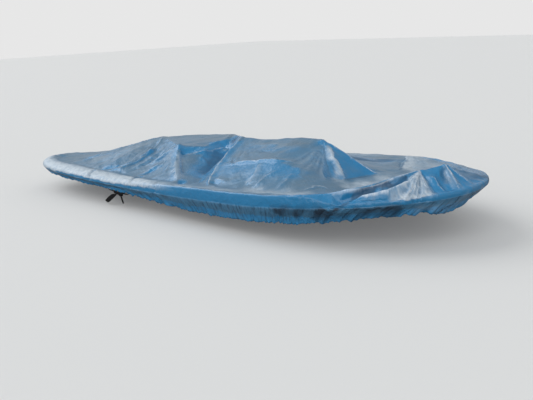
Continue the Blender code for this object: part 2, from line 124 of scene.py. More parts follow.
def outer_face(node_name):
    """The outer face of the closed sheet, as a bmesh with an open hem."""
    sheet = merged_solid(node_name)
    strip = [f for f in sheet.faces if min(e.calc_length() for e in f.edges) < HEM_STRIP]
    bmesh.ops.delete(sheet, geom=strip, context="FACES")
    top = max(sheet.verts, key=lambda v: v.co.z)
    reached, front = {top}, [top]
    while front:
        v = front.pop()
        for e in v.link_edges:
            other = e.other_vert(v)
            if other not in reached:
                reached.add(other)
                front.append(other)
    inner = [v for v in sheet.verts if v not in reached]
    bmesh.ops.delete(sheet, geom=inner, context="VERTS")
    sheet.verts.index_update()
    return sheet


cage = outer_face("cover_sheet")
print("outer face:", len(cage.verts), "points,", len(cage.faces), "triangles")

# %% [markdown]
# ## Laying the cloth out flat
# Weave and sewing lines follow the cloth, not the room. Each point therefore keeps the place that it had in
# the flat cut. On the top the cut is the plan itself. Over the edge, the plan goes on outwards by the length
# of cloth that runs down the side. The rings of points round the edge are found by counting steps inwards
# from the open hem.

# %% Count the rings and lay the cloth flat
RINGS = 6               # rings from the hem, number 0, up to the top of the rolled edge
TURN_RING = 3           # the ring at which the side turns in under the edge


def count_rings(sheet):
    """The ring number of each point near the hem, and a larger number for the rest."""
    number = [RINGS + 1] * len(sheet.verts)
    front = [v for v in sheet.verts if v.is_boundary]
    for ring in range(RINGS + 1):
        for v in front:
            number[v.index] = ring
        beyond = (e.other_vert(v) for v in front for e in v.link_edges)
        front = {v for v in beyond if number[v.index] > ring}
    return number


def columns_of(sheet, number):
    """For each point of the turned edge: the points above and below it, top first, and the way out."""
    columns = []
    for v in (v for v in sheet.verts if number[v.index] == TURN_RING):
        beside = [o for o in (e.other_vert(v) for e in v.link_edges) if number[o.index] == TURN_RING]
        along = (beside[0].co - beside[1].co).to_2d().normalized()
        out = Vector((along.y, -along.x))
        if out.dot(v.co.to_2d()) < 0:
            out.negate()
        column = [v]
        for step in (1, -1):
            at = v
            for ring in range(TURN_RING + step, RINGS + 1 if step > 0 else -1, step):
                near = [e.other_vert(at) for e in at.link_edges]
                near = [o for o in near if number[o.index] == ring]
                at = min(near, key=lambda o: (o.co - at.co).length)
                column = [at] + column if step > 0 else column + [at]
        columns.append((column, out))
    return columns


def lay_flat(sheet):
    """Keeps the points' flat places, and how far down the edge and the skirt they are, as attributes."""
    flat = sheet.verts.layers.float_vector.new("flat")
    skirt = sheet.verts.layers.float.new("skirt")
    edge = sheet.verts.layers.float.new("edge")
    number = count_rings(sheet)
    for v in sheet.verts:
        v[flat] = (v.co.x, v.co.y, 0.0)
    for column, out in columns_of(sheet, number):
        run = 0.0
        for above, below in zip(column, column[1:]):
            run += (below.co - above.co).length
            below[flat] = (column[0].co.to_2d() + out * run).to_3d()
        for k, v in enumerate(column):
            v[edge] = (k + 1) / (RINGS + 1)
            v[skirt] = max(0, k - (RINGS - TURN_RING)) / TURN_RING
    size = [max(v[flat][i] for v in sheet.verts) - min(v[flat][i] for v in sheet.verts) for i in (0, 1)]
    return number, size


ring_number, flat_size = lay_flat(cage)
print("flat cut:", [round(s, 2) for s in flat_size], "m")

# %% [markdown]
# ## Folds that stay sharp
# A Subdivision Surface rounds everything off. A crease weight on an edge holds it sharp, so each edge of the
# cage gets a weight from how far the cloth bends there. The rolled edge bends just as far, but it is soft,
# so it gets none.

# %% Weigh the folds and subdivide
FOLD_FROM, FOLD_TO = math.radians(7), math.radians(24)     # bends that begin to count, and count in full
FOLD_WEIGHT = 0.80
SUBDIVISIONS = 2


def weigh_folds(sheet, number):
    """A crease weight on each edge along which the cloth is folded."""
    weight = sheet.edges.layers.float.new("crease_edge")
    for e in sheet.edges:
        if e.is_boundary or min(number[v.index] for v in e.verts) < RINGS:
            continue
        share = (e.calc_face_angle(0.0) - FOLD_FROM) / (FOLD_TO - FOLD_FROM)
        e[weight] = FOLD_WEIGHT * min(1.0, max(0.0, share))


def put_back(sheet, item):
    """Makes the bmesh the object's mesh, with smooth faces."""
    sheet.to_mesh(item.data)
    sheet.free()
    item.data.shade_smooth()


def as_object(sheet, name):
    """The bmesh as a new object."""
    item = bpy.data.objects.new(name, bpy.data.meshes.new(name))
    bpy.context.scene.collection.objects.link(item)
    put_back(sheet, item)
    return item


def subdivide(item, levels):
    """Subdivides the object's mesh for good."""
    finer = item.modifiers.new("finer", "SUBSURF")
    finer.levels = finer.render_levels = levels
    finer.boundary_smooth = "ALL"
    shaped = bpy.data.meshes.new_from_object(item.evaluated_get(bpy.context.evaluated_depsgraph_get()))
    item.modifiers.clear()
    item.data = shaped
    return item


weigh_folds(cage, ring_number)
cloth = subdivide(as_object(cage, "cover_cloth"), SUBDIVISIONS)
print("finer sheet:", len(cloth.data.vertices), "points")

# %% Read and write the points of the cloth
def read(source, key, size=3):
    """The values of a mesh's points as an array, one row for each point."""
    values = np.empty(len(source) * size, np.float32)
    source.foreach_get(key, values)
    return values.astype(float).reshape((-1, size) if size > 1 else -1)


def points_of(item):
    """The places of the points."""
    return read(item.data.vertices, "co")


def normals_of(item):
    """The direction in which the cloth faces at each point."""
    return read(item.data.vertex_normals, "vector")


def kept(item, name):
    """What an attribute keeps for each point: a number or a place."""
    layer = item.data.attributes[name]
    if layer.data_type == "FLOAT_VECTOR":
        return read(layer.data, "vector")
    return read(layer.data, "value", 1)


def keep(item, name, values):
    """Keeps one number, or one place, for each point as an attribute."""
    kind, key = ("FLOAT_VECTOR", "vector") if values.ndim == 2 else ("FLOAT", "value")
    layer = item.data.attributes.new(name, kind, "POINT")
    layer.data.foreach_set(key, values.astype(np.float32).ravel())


def set_points(item, points):
    """Moves the points to new places."""
    item.data.vertices.foreach_set("co", points.astype(np.float32).ravel())
    item.data.update()


print("highest point:", round(points_of(cloth)[:, 2].max(), 3), "m")

# %% [markdown]
# ## The creases
# The solid holds the main folds. A coated cloth has many more: fans that run from each corner it hangs on,
# pockets under them, streaks where it is pulled tight, and small puckers. Each crease is a row of the table
# below, and its sizes are in millimetres. It has a crest that stands up, or sinks if its height is negative,
# and falls off evenly to each side like the two slopes of a roof, so that a crease with two unlike sides
# catches the light on one of them. Left and right are seen while walking along the crease. The start and the
# end say how much of the height is there: 1 at a peak where folds meet, 0 where the crease runs out. The last
# number before the places says how strong the painted highlight along the crest is: a near-white line of
# colour that stands for the light the crest catches.

# %% Table of creases
MM = 1000           # millimetres in a metre
CREASE_ROWS = (
    # name, height, left, right, start, end, painted highlight, places along it from above
    ("stern fan low", -7, 30, 18, 0, 0, 0, (-930, -160), (-1020, -250), (-1120, -370), (-1220, -440)),
    ("stern fan high", 6, 22, 40, 1, 0, 0.2, (-810, -20), (-930, -110), (-1090, -260), (-1260, -380)),
    ("side fan", -8, 20, 34, 0, 0, 0, (-800, -100), (-840, -220), (-900, -370), (-990, -490)),
    ("aft streak", -8, 16, 30, 0, 0, 0, (-748, -80), (-686, -180), (-642, -280), (-647, -370),
     (-724, -430)),
    ("aft streak crest", 6, 18, 22, 1, 0, 0.4, (-770, -20), (-700, -110), (-655, -220), (-655, -330)),
    ("aft second", -8, 16, 22, 0, 0, 0, (-644, -120), (-619, -210), (-612, -360), (-640, -480)),
    ("aft second crest", 6, 16, 18, 0, 0, 0.3, (-600, -120), (-570, -220), (-560, -360), (-585, -470)),
    ("aft third", -6, 16, 22, 0, 0, 0, (-540, -170), (-525, -270), (-520, -380), (-560, -500)),
    ("pocket crest", 7, 14, 50, 0, 0, 0.4, (-400, -190), (-450, -250), (-480, -360)),
    ("pocket hollow", -10, 30, 14, 0, 0, 0, (-405, -240), (-430, -290), (-450, -360)),
    ("low pocket crest", 7, 14, 34, 0, 0, 0.5, (-350, -340), (-399, -410), (-425, -480)),
    ("low pocket hollow", -8, 26, 14, 0, 0, 0, (-340, -390), (-375, -430), (-400, -480)),
    ("low ripple", -5, 18, 18, 0, 0, 0, (-520, -500), (-660, -490), (-800, -530)),
    ("corner column", 12, 30, 40, 1, 0, 0, (-378, -200), (-302, -280), (-216, -360), (-87, -463),
     (7, -535)),
    ("column hollow", -7, 40, 20, 0, 0, 0, (-335, -220), (-250, -290), (-160, -360), (-50, -440)),
    ("column foot", -13, 30, 22, 0, 0, 0, (0, -500), (45, -545), (90, -585)),
    ("face ripple", 4, 20, 20, 0, 0, 0, (-300, -330), (-260, -400), (-200, -470)),
    ("aft lip line", 6, 30, 18, 0, 0, 0.4, (-287, -260), (-248, -180), (-201, -117), (-200, 16),
     (-118, 34)),
    ("bridge facet", 8, 18, 40, 1, 0, 0, (-293, 160), (-235, 80), (-179, 0)),
    ("bridge crest", 7, 16, 20, 1, 1, 0.25, (-150, 100), (-80, 50), (-10, 0)),
    ("valley wrinkle", 4, 12, 12, 0, 0, 0, (-232, -186), (-160, -190), (-80, -220)),
    ("valley crease", -5, 16, 16, 0, 0, 0, (-120, -80), (-70, -200), (-10, -330)),
    ("mid ridge crest", 12, 30, 12, 1, 1, 0.9, (-20, -20), (40, -140), (93, -260), (150, -370), (210, -463),
     (264, -530)),
    ("lobe crest", 6, 22, 14, 0, 0, 0.25, (225, -485), (278, -475), (337, -480), (387, -507)),
    ("lobe hollow", -7, 14, 18, 0, 0, 0, (240, -520), (290, -510), (345, -520)),
    ("lobe pucker", 5, 14, 14, 0, 0, 0.25, (265, -555), (315, -545), (360, -560)),
    ("mid sheen", 5, 30, 22, 0, 0, 0, (140, -75), (204, -79), (308, -81), (422, -99)),
    ("mid high ripple", -5, 18, 18, 0, 0, 0, (290, -155), (350, -175), (420, -165)),
    ("mid edge crease", 10, 34, 16, 0, 0, 0.4, (140, -350), (260, -322), (350, -310), (450, -300),
     (560, -288), (640, -256), (710, -250)),
    ("mid second line", -5, 18, 26, 0, 0, 0, (150, -240), (215, -300), (300, -345)),
    ("near streak", 7, 50, 26, 0, 0, 0, (456, -311), (490, -390), (549, -528)),
    ("second streak", 8, 34, 22, 0, 0, 0.4, (610, -350), (592, -441), (600, -530)),
    ("face streak", 6, 24, 20, 0, 0, 0.3, (700, -330), (735, -420), (745, -520)),
    ("low glint", 6, 18, 18, 0, 0, 0.9, (880, -405), (921, -372), (965, -358)),
    ("low glint side", 6, 14, 14, 0, 0, 0.7, (890, -470), (910, -421), (900, -370)),
    ("fore hollow", -10, 34, 60, 1, 0, 0, (640, -10), (700, -75), (760, -125), (830, -175), (933, -250)),
    ("fore crest", 10, 22, 46, 1, 0, 0, (636, -5), (702, -35), (786, -80), (924, -150)),
    ("fore dark line", -6, 10, 12, 0, 0, 0, (720, -80), (786, -111), (850, -145)),
    ("fore side crest", 6, 20, 24, 0, 0, 0, (700, -125), (770, -190), (840, -260)),
    ("fore edge", 3, 20, 20, 1, 1, 0.8, (636, 0), (780, 30), (925, 62)),
    ("fore foot", -5, 26, 30, 0, 0, 0, (850, -140), (890, -40), (935, 62)),
    ("deck sweep", -5, 50, 50, 0, 0, 0, (960, -480), (1020, -330), (1050, -100), (1040, 120)),
    ("deck streak", 5, 22, 22, 0, 0, 0.3, (980, -500), (1060, -420), (1150, -300)),
    ("bow ridge crest", 8, 40, 14, 0, 1, 0.6, (1020, -540), (1090, -502), (1210, -430), (1280, -350),
     (1310, -240), (1320, -120)),
    ("bow trough", -20, 14, 20, 0, 0, 0, (1060, -565), (1120, -540), (1155, -490), (1200, -450),
     (1285, -355), (1325, -245)),
    ("second crest", 7, 12, 28, 0, 1, 0.8, (1130, -510), (1180, -472), (1250, -442), (1330, -385),
     (1360, -260), (1322, -125)),
    ("second hollow", -6, 20, 16, 0, 0, 0, (1180, -510), (1265, -470), (1345, -410), (1378, -290)),
    ("third crest", 7, 16, 26, 0, 1, 0.8, (1230, -505), (1310, -455), (1372, -395), (1396, -280),
     (1330, -135)),
    ("fan left", 10, 30, 20, 1, 0, 0.9, (1323, -125), (1378, -250), (1395, -340), (1375, -420)),
    ("fan middle", -6, 16, 16, 1, 0, 0, (1325, -125), (1395, -225), (1435, -310)),
    ("fan middle crest", 8, 18, 18, 1, 0, 0.9, (1330, -127), (1410, -216), (1463, -280)),
    ("fan right", -10, 16, 22, 1, 0, 0, (1340, -130), (1427, -180), (1495, -225)),
    ("zigzag", 8, 14, 14, 0, 0, 0.8, (1367, -142), (1405, -128), (1445, -154), (1500, -165)),
    ("saddle side", -7, 20, 20, 0, 0, 0, (1385, -75), (1430, -120), (1475, -140)),
    ("dimple", -8, 22, 16, 0, 0, 0, (1398, -45), (1417, -75), (1445, -88)),
    ("tip near crest", 8, 14, 12, 1, 0, 1.0, (1396, -20), (1451, -55), (1480, -70), (1525, -105)),
    ("tip crest", 10, 26, 16, 1, 0, 1.0, (1400, -8), (1443, -10), (1486, -4), (1530, -5)),
    ("tip far crest", 7, 18, 18, 1, 0, 0.5, (1389, 5), (1412, 70), (1445, 123), (1475, 180)),
    ("far apex crease", -8, 30, 24, 0, 0, 0, (790, 560), (845, 409), (950, 240)),
    ("far apex crest", 6, 40, 40, 0, 0, 0, (776, 590), (899, 490), (1020, 430)),
    ("roll crease", -9, 10, 14, 1, 0, 0, (-318, -634), (-345, -580), (-385, -525), (-350, -480)),
    ("roll notch", -14, 10, 18, 1, 1, 0, (-760, -636), (-780, -605), (-790, -570)),
    ("stern roll crease", -9, 24, 14, 0, 0, 0, (-1360, -490), (-1290, -525), (-1180, -540), (-1050, -545)),
    ("aft dark streak", -10, 30, 12, 0, 0, 0, (-800, -560), (-790, -500), (-720, -455), (-650, -420),
     (-635, -340)),
    ("roll crease fore", -5, 12, 12, 1, 0, 0, (-80, -635), (-105, -590), (-90, -550)),
    ("stern corner", -8, 20, 20, 0, 0, 0, (-1520, -500), (-1440, -440), (-1330, -400)),
    ("stern pucker", 6, 20, 20, 0, 0, 0, (-1500, -300), (-1410, -270), (-1300, -240)),
    ("stern long crest", 5, 40, 40, 0, 1, 0, (-1440, -50), (-1200, 20), (-960, 20), (-800, 0)),
    ("far stern streak", -6, 20, 30, 0, 0, 0, (-1280, 120), (-1110, 250), (-990, 420)),
    ("far stern crest", 6, 24, 24, 0, 0, 0, (-1200, 80), (-1050, 190), (-930, 360)),
)
Crease = namedtuple("Crease", "name height left right start end rubbed path")
CREASES = [Crease(name, height / MM, left / MM, right / MM, start, end, rubbed, np.array(path) / MM)
           for name, height, left, right, start, end, rubbed, *path in CREASE_ROWS]
print(len(CREASES), "creases, up to", max(row.height for row in CREASES), "m high")

# %% Height of a crease
CREST_RADIUS = 0.0025       # how round a crest is
RUN_OUT = 0.30              # the share of a crease over which it runs out


def path_distance(points, path):
    """How far each point lies from a path seen from above, left counted up and right down, and how far
    along the path it is, from 0 to 1."""
    spans = np.hypot(*np.diff(path, axis=0).T)
    run = np.concatenate([[0.0], np.cumsum(spans)])
    nearest = np.full(len(points), np.inf)
    side, along = np.zeros(len(points)), np.zeros(len(points))
    for start, end, length, before in zip(path, path[1:], spans, run):
        way = (end - start) / length
        off = points[:, :2] - start
        t = np.clip(off @ way, 0.0, length)
        miss = off - t[:, None] * way
        distance = np.hypot(miss[:, 0], miss[:, 1])
        closer = distance < nearest
        nearest = np.where(closer, distance, nearest)
        side = np.where(closer, np.sign(way[0] * off[:, 1] - way[1] * off[:, 0]), side)
        along = np.where(closer, (before + t) / run[-1], along)
    return nearest * side, along


def smooth_step(value):
    """An even S from 0 to 1."""
    t = np.clip(value, 0.0, 1.0)
    return t * t * (3.0 - 2.0 * t)


def crease_height(points, row):
    """How far one crease lifts each point."""
    offset, along = path_distance(points, row.path)
    fall = np.where(offset > 0, row.left, row.right)
    roof = np.maximum(0.0, 1.0 - (np.hypot(offset, CREST_RADIUS) - CREST_RADIUS) / fall)
    start = row.start + (1 - row.start) * smooth_step(along / RUN_OUT)
    end = row.end + (1 - row.end) * smooth_step((1 - along) / RUN_OUT)
    return row.height * roof * start * end


moved = np.count_nonzero(crease_height(points_of(cloth), CREASES[0]))
print("the crease", CREASES[0].name, "moves", moved, "points")

# %% [markdown]
# ## Fans of pleats
# Where the cloth hangs from a point, small pleats run out from it like the ribs of a fan. One row makes a
# whole fan: its apex, the two ways between which it spreads, in degrees, how far out it begins and ends, how
# many pleats it has and how high they are, again in millimetres. The last number says how much painted sheen
# lies on the crests of the pleats: a pale colour that stands for the light they mirror.

# %% Table of fans
FAN_ROWS = (
    # name, apex, ways, from, to, pleats, height, painted sheen
    ("bow fan", (1323, -118), (-90, -28), 30, 480, 8, 3.4, 1.25),
    ("bow fan aft", (1323, -118), (-126, -92), 80, 420, 3, 2.0, 0.45),
    ("bow top fan", (1392, -20), (-62, -12), 30, 170, 5, 2.4, 0.6),
    ("far bow fan", (1392, -10), (24, 118), 40, 260, 6, 2.4, 0.3),
    ("stern fan", (-800, 0), (-168, -112), 60, 600, 7, 3.0, 0.2),
    ("aft side fan", (-740, -50), (-112, -62), 80, 460, 7, 3.6, 0.2),
    ("corner fan", (-385, -195), (-172, -58), 30, 300, 9, 3.4, 0.25),
    ("far corner fan", (-310, 200), (60, 170), 40, 320, 7, 3.0, 0.15),
    ("far stern fan", (-800, 0), (105, 168), 60, 600, 7, 3.0, 0.15),
    ("mid fore fan", (630, 0), (-100, -38), 50, 420, 6, 2.6, 0.3),
    ("mid far fan", (630, 0), (70, 130), 50, 360, 5, 2.6, 0.1),
    ("mid aft fan", (80, -60), (-66, -20), 50, 400, 5, 2.0, 0.1),
    ("far fold fan", (780, 585), (-66, -22), 40, 340, 6, 2.6, 0.3),
)
PLEAT_SHARPNESS = 0.8       # less gives narrower crests
PLEAT_WARP = 0.05           # how unevenly the pleats are spread
FAN_RISES = 4.5             # more lets the pleats rise sooner beside the borders of the fan
FAN_FADES = 0.4             # the share of its reach over which a fan fades out
FAN_RAGGED = 0.15           # how much the pleats differ in length
Fan = namedtuple("Fan", "apex first last near far pleats height chalk")
FANS = [Fan(np.array(apex) / MM, math.radians(ways[0]), math.radians(ways[1]), near / MM, far / MM, pleats,
            height / MM, chalk) for _, apex, ways, near, far, pleats, height, chalk in FAN_ROWS]


def pleat_height(phase):
    """Pleats side by side, one each half turn: 1 on a crest, -1 in a hollow."""
    return 1.0 - 2.0 * np.abs(np.sin(phase)) ** PLEAT_SHARPNESS


def fan_share(points, fan):
    """How far each point lies within a fan, from 0 to 1, and how near to the crest of a pleat, -1 to 1."""
    off = points[:, :2] - fan.apex
    radius = np.hypot(off[:, 0], off[:, 1])
    turn = (np.arctan2(off[:, 1], off[:, 0]) - fan.first + math.pi) % (2 * math.pi) - math.pi
    across = turn / (fan.last - fan.first)
    uneven = across + PLEAT_WARP * np.sin(11.0 * across + fan.pleats)
    uneven += 0.25 * PLEAT_WARP * np.sin(31.0 * radius)
    inside = smooth_step(FAN_RISES * np.minimum(across, 1.0 - across)) * smooth_step(radius / fan.near / 2)
    ragged_end = fan.far * (1.0 - FAN_RAGGED + FAN_RAGGED * np.sin(17.0 * uneven))
    fading = smooth_step((radius / ragged_end - (1.0 - FAN_FADES)) / FAN_FADES)
    return inside * (1.0 - fading), pleat_height(math.pi * fan.pleats * uneven)


print(len(FANS), "fans with", sum(fan.pleats for fan in FANS), "pleats")

# %% [markdown]
# ## Finer cloth where it creases
# A crease needs points closer together than a smooth slope does. The faces near each crease, and those beside
# the sharpest folds, are split once more. The skirt has narrow gathers side by side, so its faces are split
# too, but only along the edge of the cover.

# %% Split the faces near the creases
NEAR_CREASE = 0.0065        # a face counts as near when it is this close to the line of a crease
SHARP_BEND = math.radians(19)
SAME_DEPTH = 0.02           # points of the skirt whose shares differ less than this lie side by side


def near_a_crease(points):
    """Which points lie on or beside the line of a crease."""
    near = np.zeros(len(points), bool)
    for row in CREASES:
        near |= np.abs(path_distance(points, row.path)[0]) < NEAR_CREASE
    return near


def refine(item):
    """Splits the faces of the top beside a crease or a sharp fold, and those of the skirt one way."""
    chosen, skirt = near_a_crease(points_of(item)), kept(item, "skirt")
    sheet = bmesh.new()
    sheet.from_mesh(item.data)
    faces = {f for f in sheet.faces if any(chosen[v.index] and skirt[v.index] == 0.0 for v in f.verts)}
    for e in sheet.edges:
        if skirt[e.verts[0].index] == 0.0 and e.calc_face_angle(0.0) > SHARP_BEND:
            faces.update(e.link_faces)
    edges = {e for f in faces for e in f.edges}
    for e in sheet.edges:
        a, b = (skirt[v.index] for v in e.verts)
        if min(a, b) > 0.0 and abs(a - b) < SAME_DEPTH:
            edges.add(e)
    bmesh.ops.subdivide_edges(sheet, edges=list(edges), cuts=1, use_grid_fill=True, smooth=0.0)
    put_back(sheet, item)
    return sum(len(f.vertices) - 2 for f in item.data.polygons)


print("refined sheet:", refine(cloth), "triangles")

# %% [markdown]
# ## Raising the creases
# Every crease lifts the points along the way in which the cloth faces. Where creases meet, the highest crest
# counts and the deepest trough, but not the sum of several crests, which would raise a spike at each corner.
# A slow, uneven swell and the pleats of the fans go on top, since no cloth lies dead flat between its folds.

# %% Raise the creases
SWELLS = (              # length of the wave, the way it runs in degrees, its height
    (0.31, 20, 0.0013), (0.19, 95, 0.0012), (0.13, 150, 0.0010), (0.083, 55, 0.0007), (0.061, 120, 0.0005),
)
SWELL_BEND = 0.5            # how far the waves bend
SWELL_PATCHES = 0.4         # how much weaker they are in some places than in others
TOP_ENDS = 6.0              # more keeps the creases higher above the skirt


def swell(points):
    """Uneven soft waves all over the cloth."""
    total = np.zeros(len(points))
    x, y = points[:, 0], points[:, 1]
    bend = SWELL_BEND * np.sin(7.0 * x + 3.0 * y)
    for k, (length, turn, height) in enumerate(SWELLS):
        way = x * math.cos(math.radians(turn)) + y * math.sin(math.radians(turn))
        patch = 1.0 - SWELL_PATCHES + SWELL_PATCHES * np.sin(2.3 * way + 1.7 * y + k)
        total += height * patch * np.sin(2 * math.pi * way / length + bend * (k + 1) + 1.3 * k)
    return total


def raise_creases(item):
    """Lifts the points of the top by the creases, the swell and the fans, and says by how much at most."""
    points = points_of(item)
    lifts = [crease_height(points, row) for row in CREASES]
    lift = np.max(lifts, axis=0).clip(min=0.0) + np.min(lifts, axis=0).clip(max=0.0) + swell(points)
    for fan in FANS:
        inside, crest = fan_share(points, fan)
        lift += fan.height * inside * crest
    on_top = 1.0 - smooth_step(kept(item, "skirt") * TOP_ENDS)
    set_points(item, points + normals_of(item) * (lift * on_top)[:, None])
    return np.abs(lift).max()


print("highest crease:", round(raise_creases(cloth) * MM, 1), "mm")

# %% [markdown]
# ## The gathered skirt
# Under the edge, an elastic in the hem draws the cloth together. The gathers start small under the edge and
# are deepest at the hem. They are uneven, pinched rather than round, and toward the bow they lean. Each is
# worked out from the place along the edge and the share of the way down the skirt.

# %% Gather the skirt
GATHERS = (                 # waves in one round, depth, lean down the skirt, start
    (83, 0.0030, 2.6, 0.3), (127, 0.0034, 4.2, 1.1), (171, 0.0030, 5.4, 2.9), (229, 0.0026, 6.6, 4.4),
    (307, 0.0020, 7.4, 0.9),
)
GATHER_PATCHES = (5, 11, 17)        # where the gathers are strong and where they are weak
PATCH_DEPTH = 0.25                  # and how much weaker they are there
GATHER_UNEVEN = 0.8                 # how unevenly they are spread
GATHER_GROWS = 1.25                 # above 1, they are full a little above the hem
HEM_RAGGED = 0.0050                 # how far the hem's edge goes up and down at the bow
SIDE_RAGGED = 0.25                  # and the share of it along the sides
HEM_SHARE = 0.4                     # the share of the skirt that goes up and down with the hem
HEM_WAVES, HEM_BEND = (61, 23), 2.2     # waves of the hem in one round, and slower ones that bend them
AFT_LEAN = -0.5                     # the gathers lean aft along the sides and forward at the bow
BOW_LEAN = (0.80, 1.15)
SQUARER = 0.5                       # the plan is squarer than an oval, for which this would be 1
STEPS_ROUND = 721


def squared(value, power):
    """The value to this power, with its sign."""
    return np.sign(value) * np.abs(value) ** power


def round_the_edge(points):
    """How far round the cover each point is, in radians, evenly by the length of the edge."""
    half, side = cad_box[1].x, cad_box[1].y
    steps = np.linspace(0, 2 * math.pi, STEPS_ROUND)
    ring_x, ring_y = half * squared(np.cos(steps), SQUARER), side * squared(np.sin(steps), SQUARER)
    run = np.concatenate([[0.0], np.cumsum(np.hypot(np.diff(ring_x), np.diff(ring_y)))])
    turn = np.arctan2(squared(points[:, 1] / side, 1 / SQUARER), squared(points[:, 0] / half, 1 / SQUARER))
    return 2 * math.pi * np.interp(turn % (2 * math.pi), steps, run / run[-1])


def lean_of(points):
    """How far the gathers lean, -1 to 1: toward the bow, as one walks round the edge."""
    bow = smooth_step((points[:, 0] - BOW_LEAN[0]) / (BOW_LEAN[1] - BOW_LEAN[0]))
    return (AFT_LEAN + (1.0 - AFT_LEAN) * bow) * np.where(points[:, 1] < 0, 1.0, -1.0), bow


def gather_skirt(item):
    """Draws the skirt into pinched gathers and makes the hem's edge go up and down."""
    points, down = points_of(item), kept(item, "skirt")
    turn = round_the_edge(points)
    lean, bow = lean_of(points)
    patches = sum(np.sin(count * turn + count) for count in GATHER_PATCHES)
    patch = 1.0 - PATCH_DEPTH + PATCH_DEPTH * patches / (len(GATHER_PATCHES) / 2)
    wave = np.zeros(len(points))
    for count, depth, slant, start in GATHERS:
        phase = count * turn + slant * lean * down + start
        phase += GATHER_UNEVEN * np.sin(0.37 * count * turn + start)
        wave += depth * pleat_height(phase / 2)
    strength = smooth_step(down * GATHER_GROWS) * patch
    points += normals_of(item) * (wave * strength)[:, None]
    ragged = HEM_RAGGED * (SIDE_RAGGED + (1.0 - SIDE_RAGGED) * bow)
    ragged *= smooth_step((down - (1.0 - HEM_SHARE)) / HEM_SHARE)
    bend = HEM_BEND * np.sin(HEM_WAVES[1] * turn)
    points[:, 2] += ragged * np.sin(HEM_WAVES[0] * turn + bend) * patch
    set_points(item, points)


gather_skirt(cloth)
print("skirt gathered at", [row[0] for row in GATHERS], "waves in the round")

# %% [markdown]
# ## The hem
# The elastic lies in a hem: the cloth's edge is turned in and sewn down. From below and from the side the hem
# looks thick. The open edge of the sheet is therefore extruded three times, round and up on the inside.

# %% Turn the hem in
HEM_TURNS = ((0.0030, -0.0020), (0.0030, 0.0020), (0.0010, 0.0140))     # inwards and up, one pair a turn


def turn_hem_in(item):
    """Extrudes the open edge inwards and up, so that the hem has a thickness."""
    sheet = bmesh.new()
    sheet.from_mesh(item.data)
    edge = [e for e in sheet.edges if e.is_boundary]
    into = {v: Vector((-v.normal.x, -v.normal.y, 0.0)).normalized() for e in edge for v in e.verts}
    for inwards, up in HEM_TURNS:
        near = {tuple(v.co): way for v, way in into.items()}
        made = bmesh.ops.extrude_edge_only(sheet, edges=edge)["geom"]
        edge = [g for g in made if isinstance(g, bmesh.types.BMEdge) and g.is_boundary]
        into = {v: near[tuple(v.co)] for e in edge for v in e.verts}
        for v, way in into.items():
            v.co += way * inwards + Vector((0.0, 0.0, up))
    put_back(sheet, item)
    return len(edge)


print("hem turned in,", turn_hem_in(cloth), "edges round")
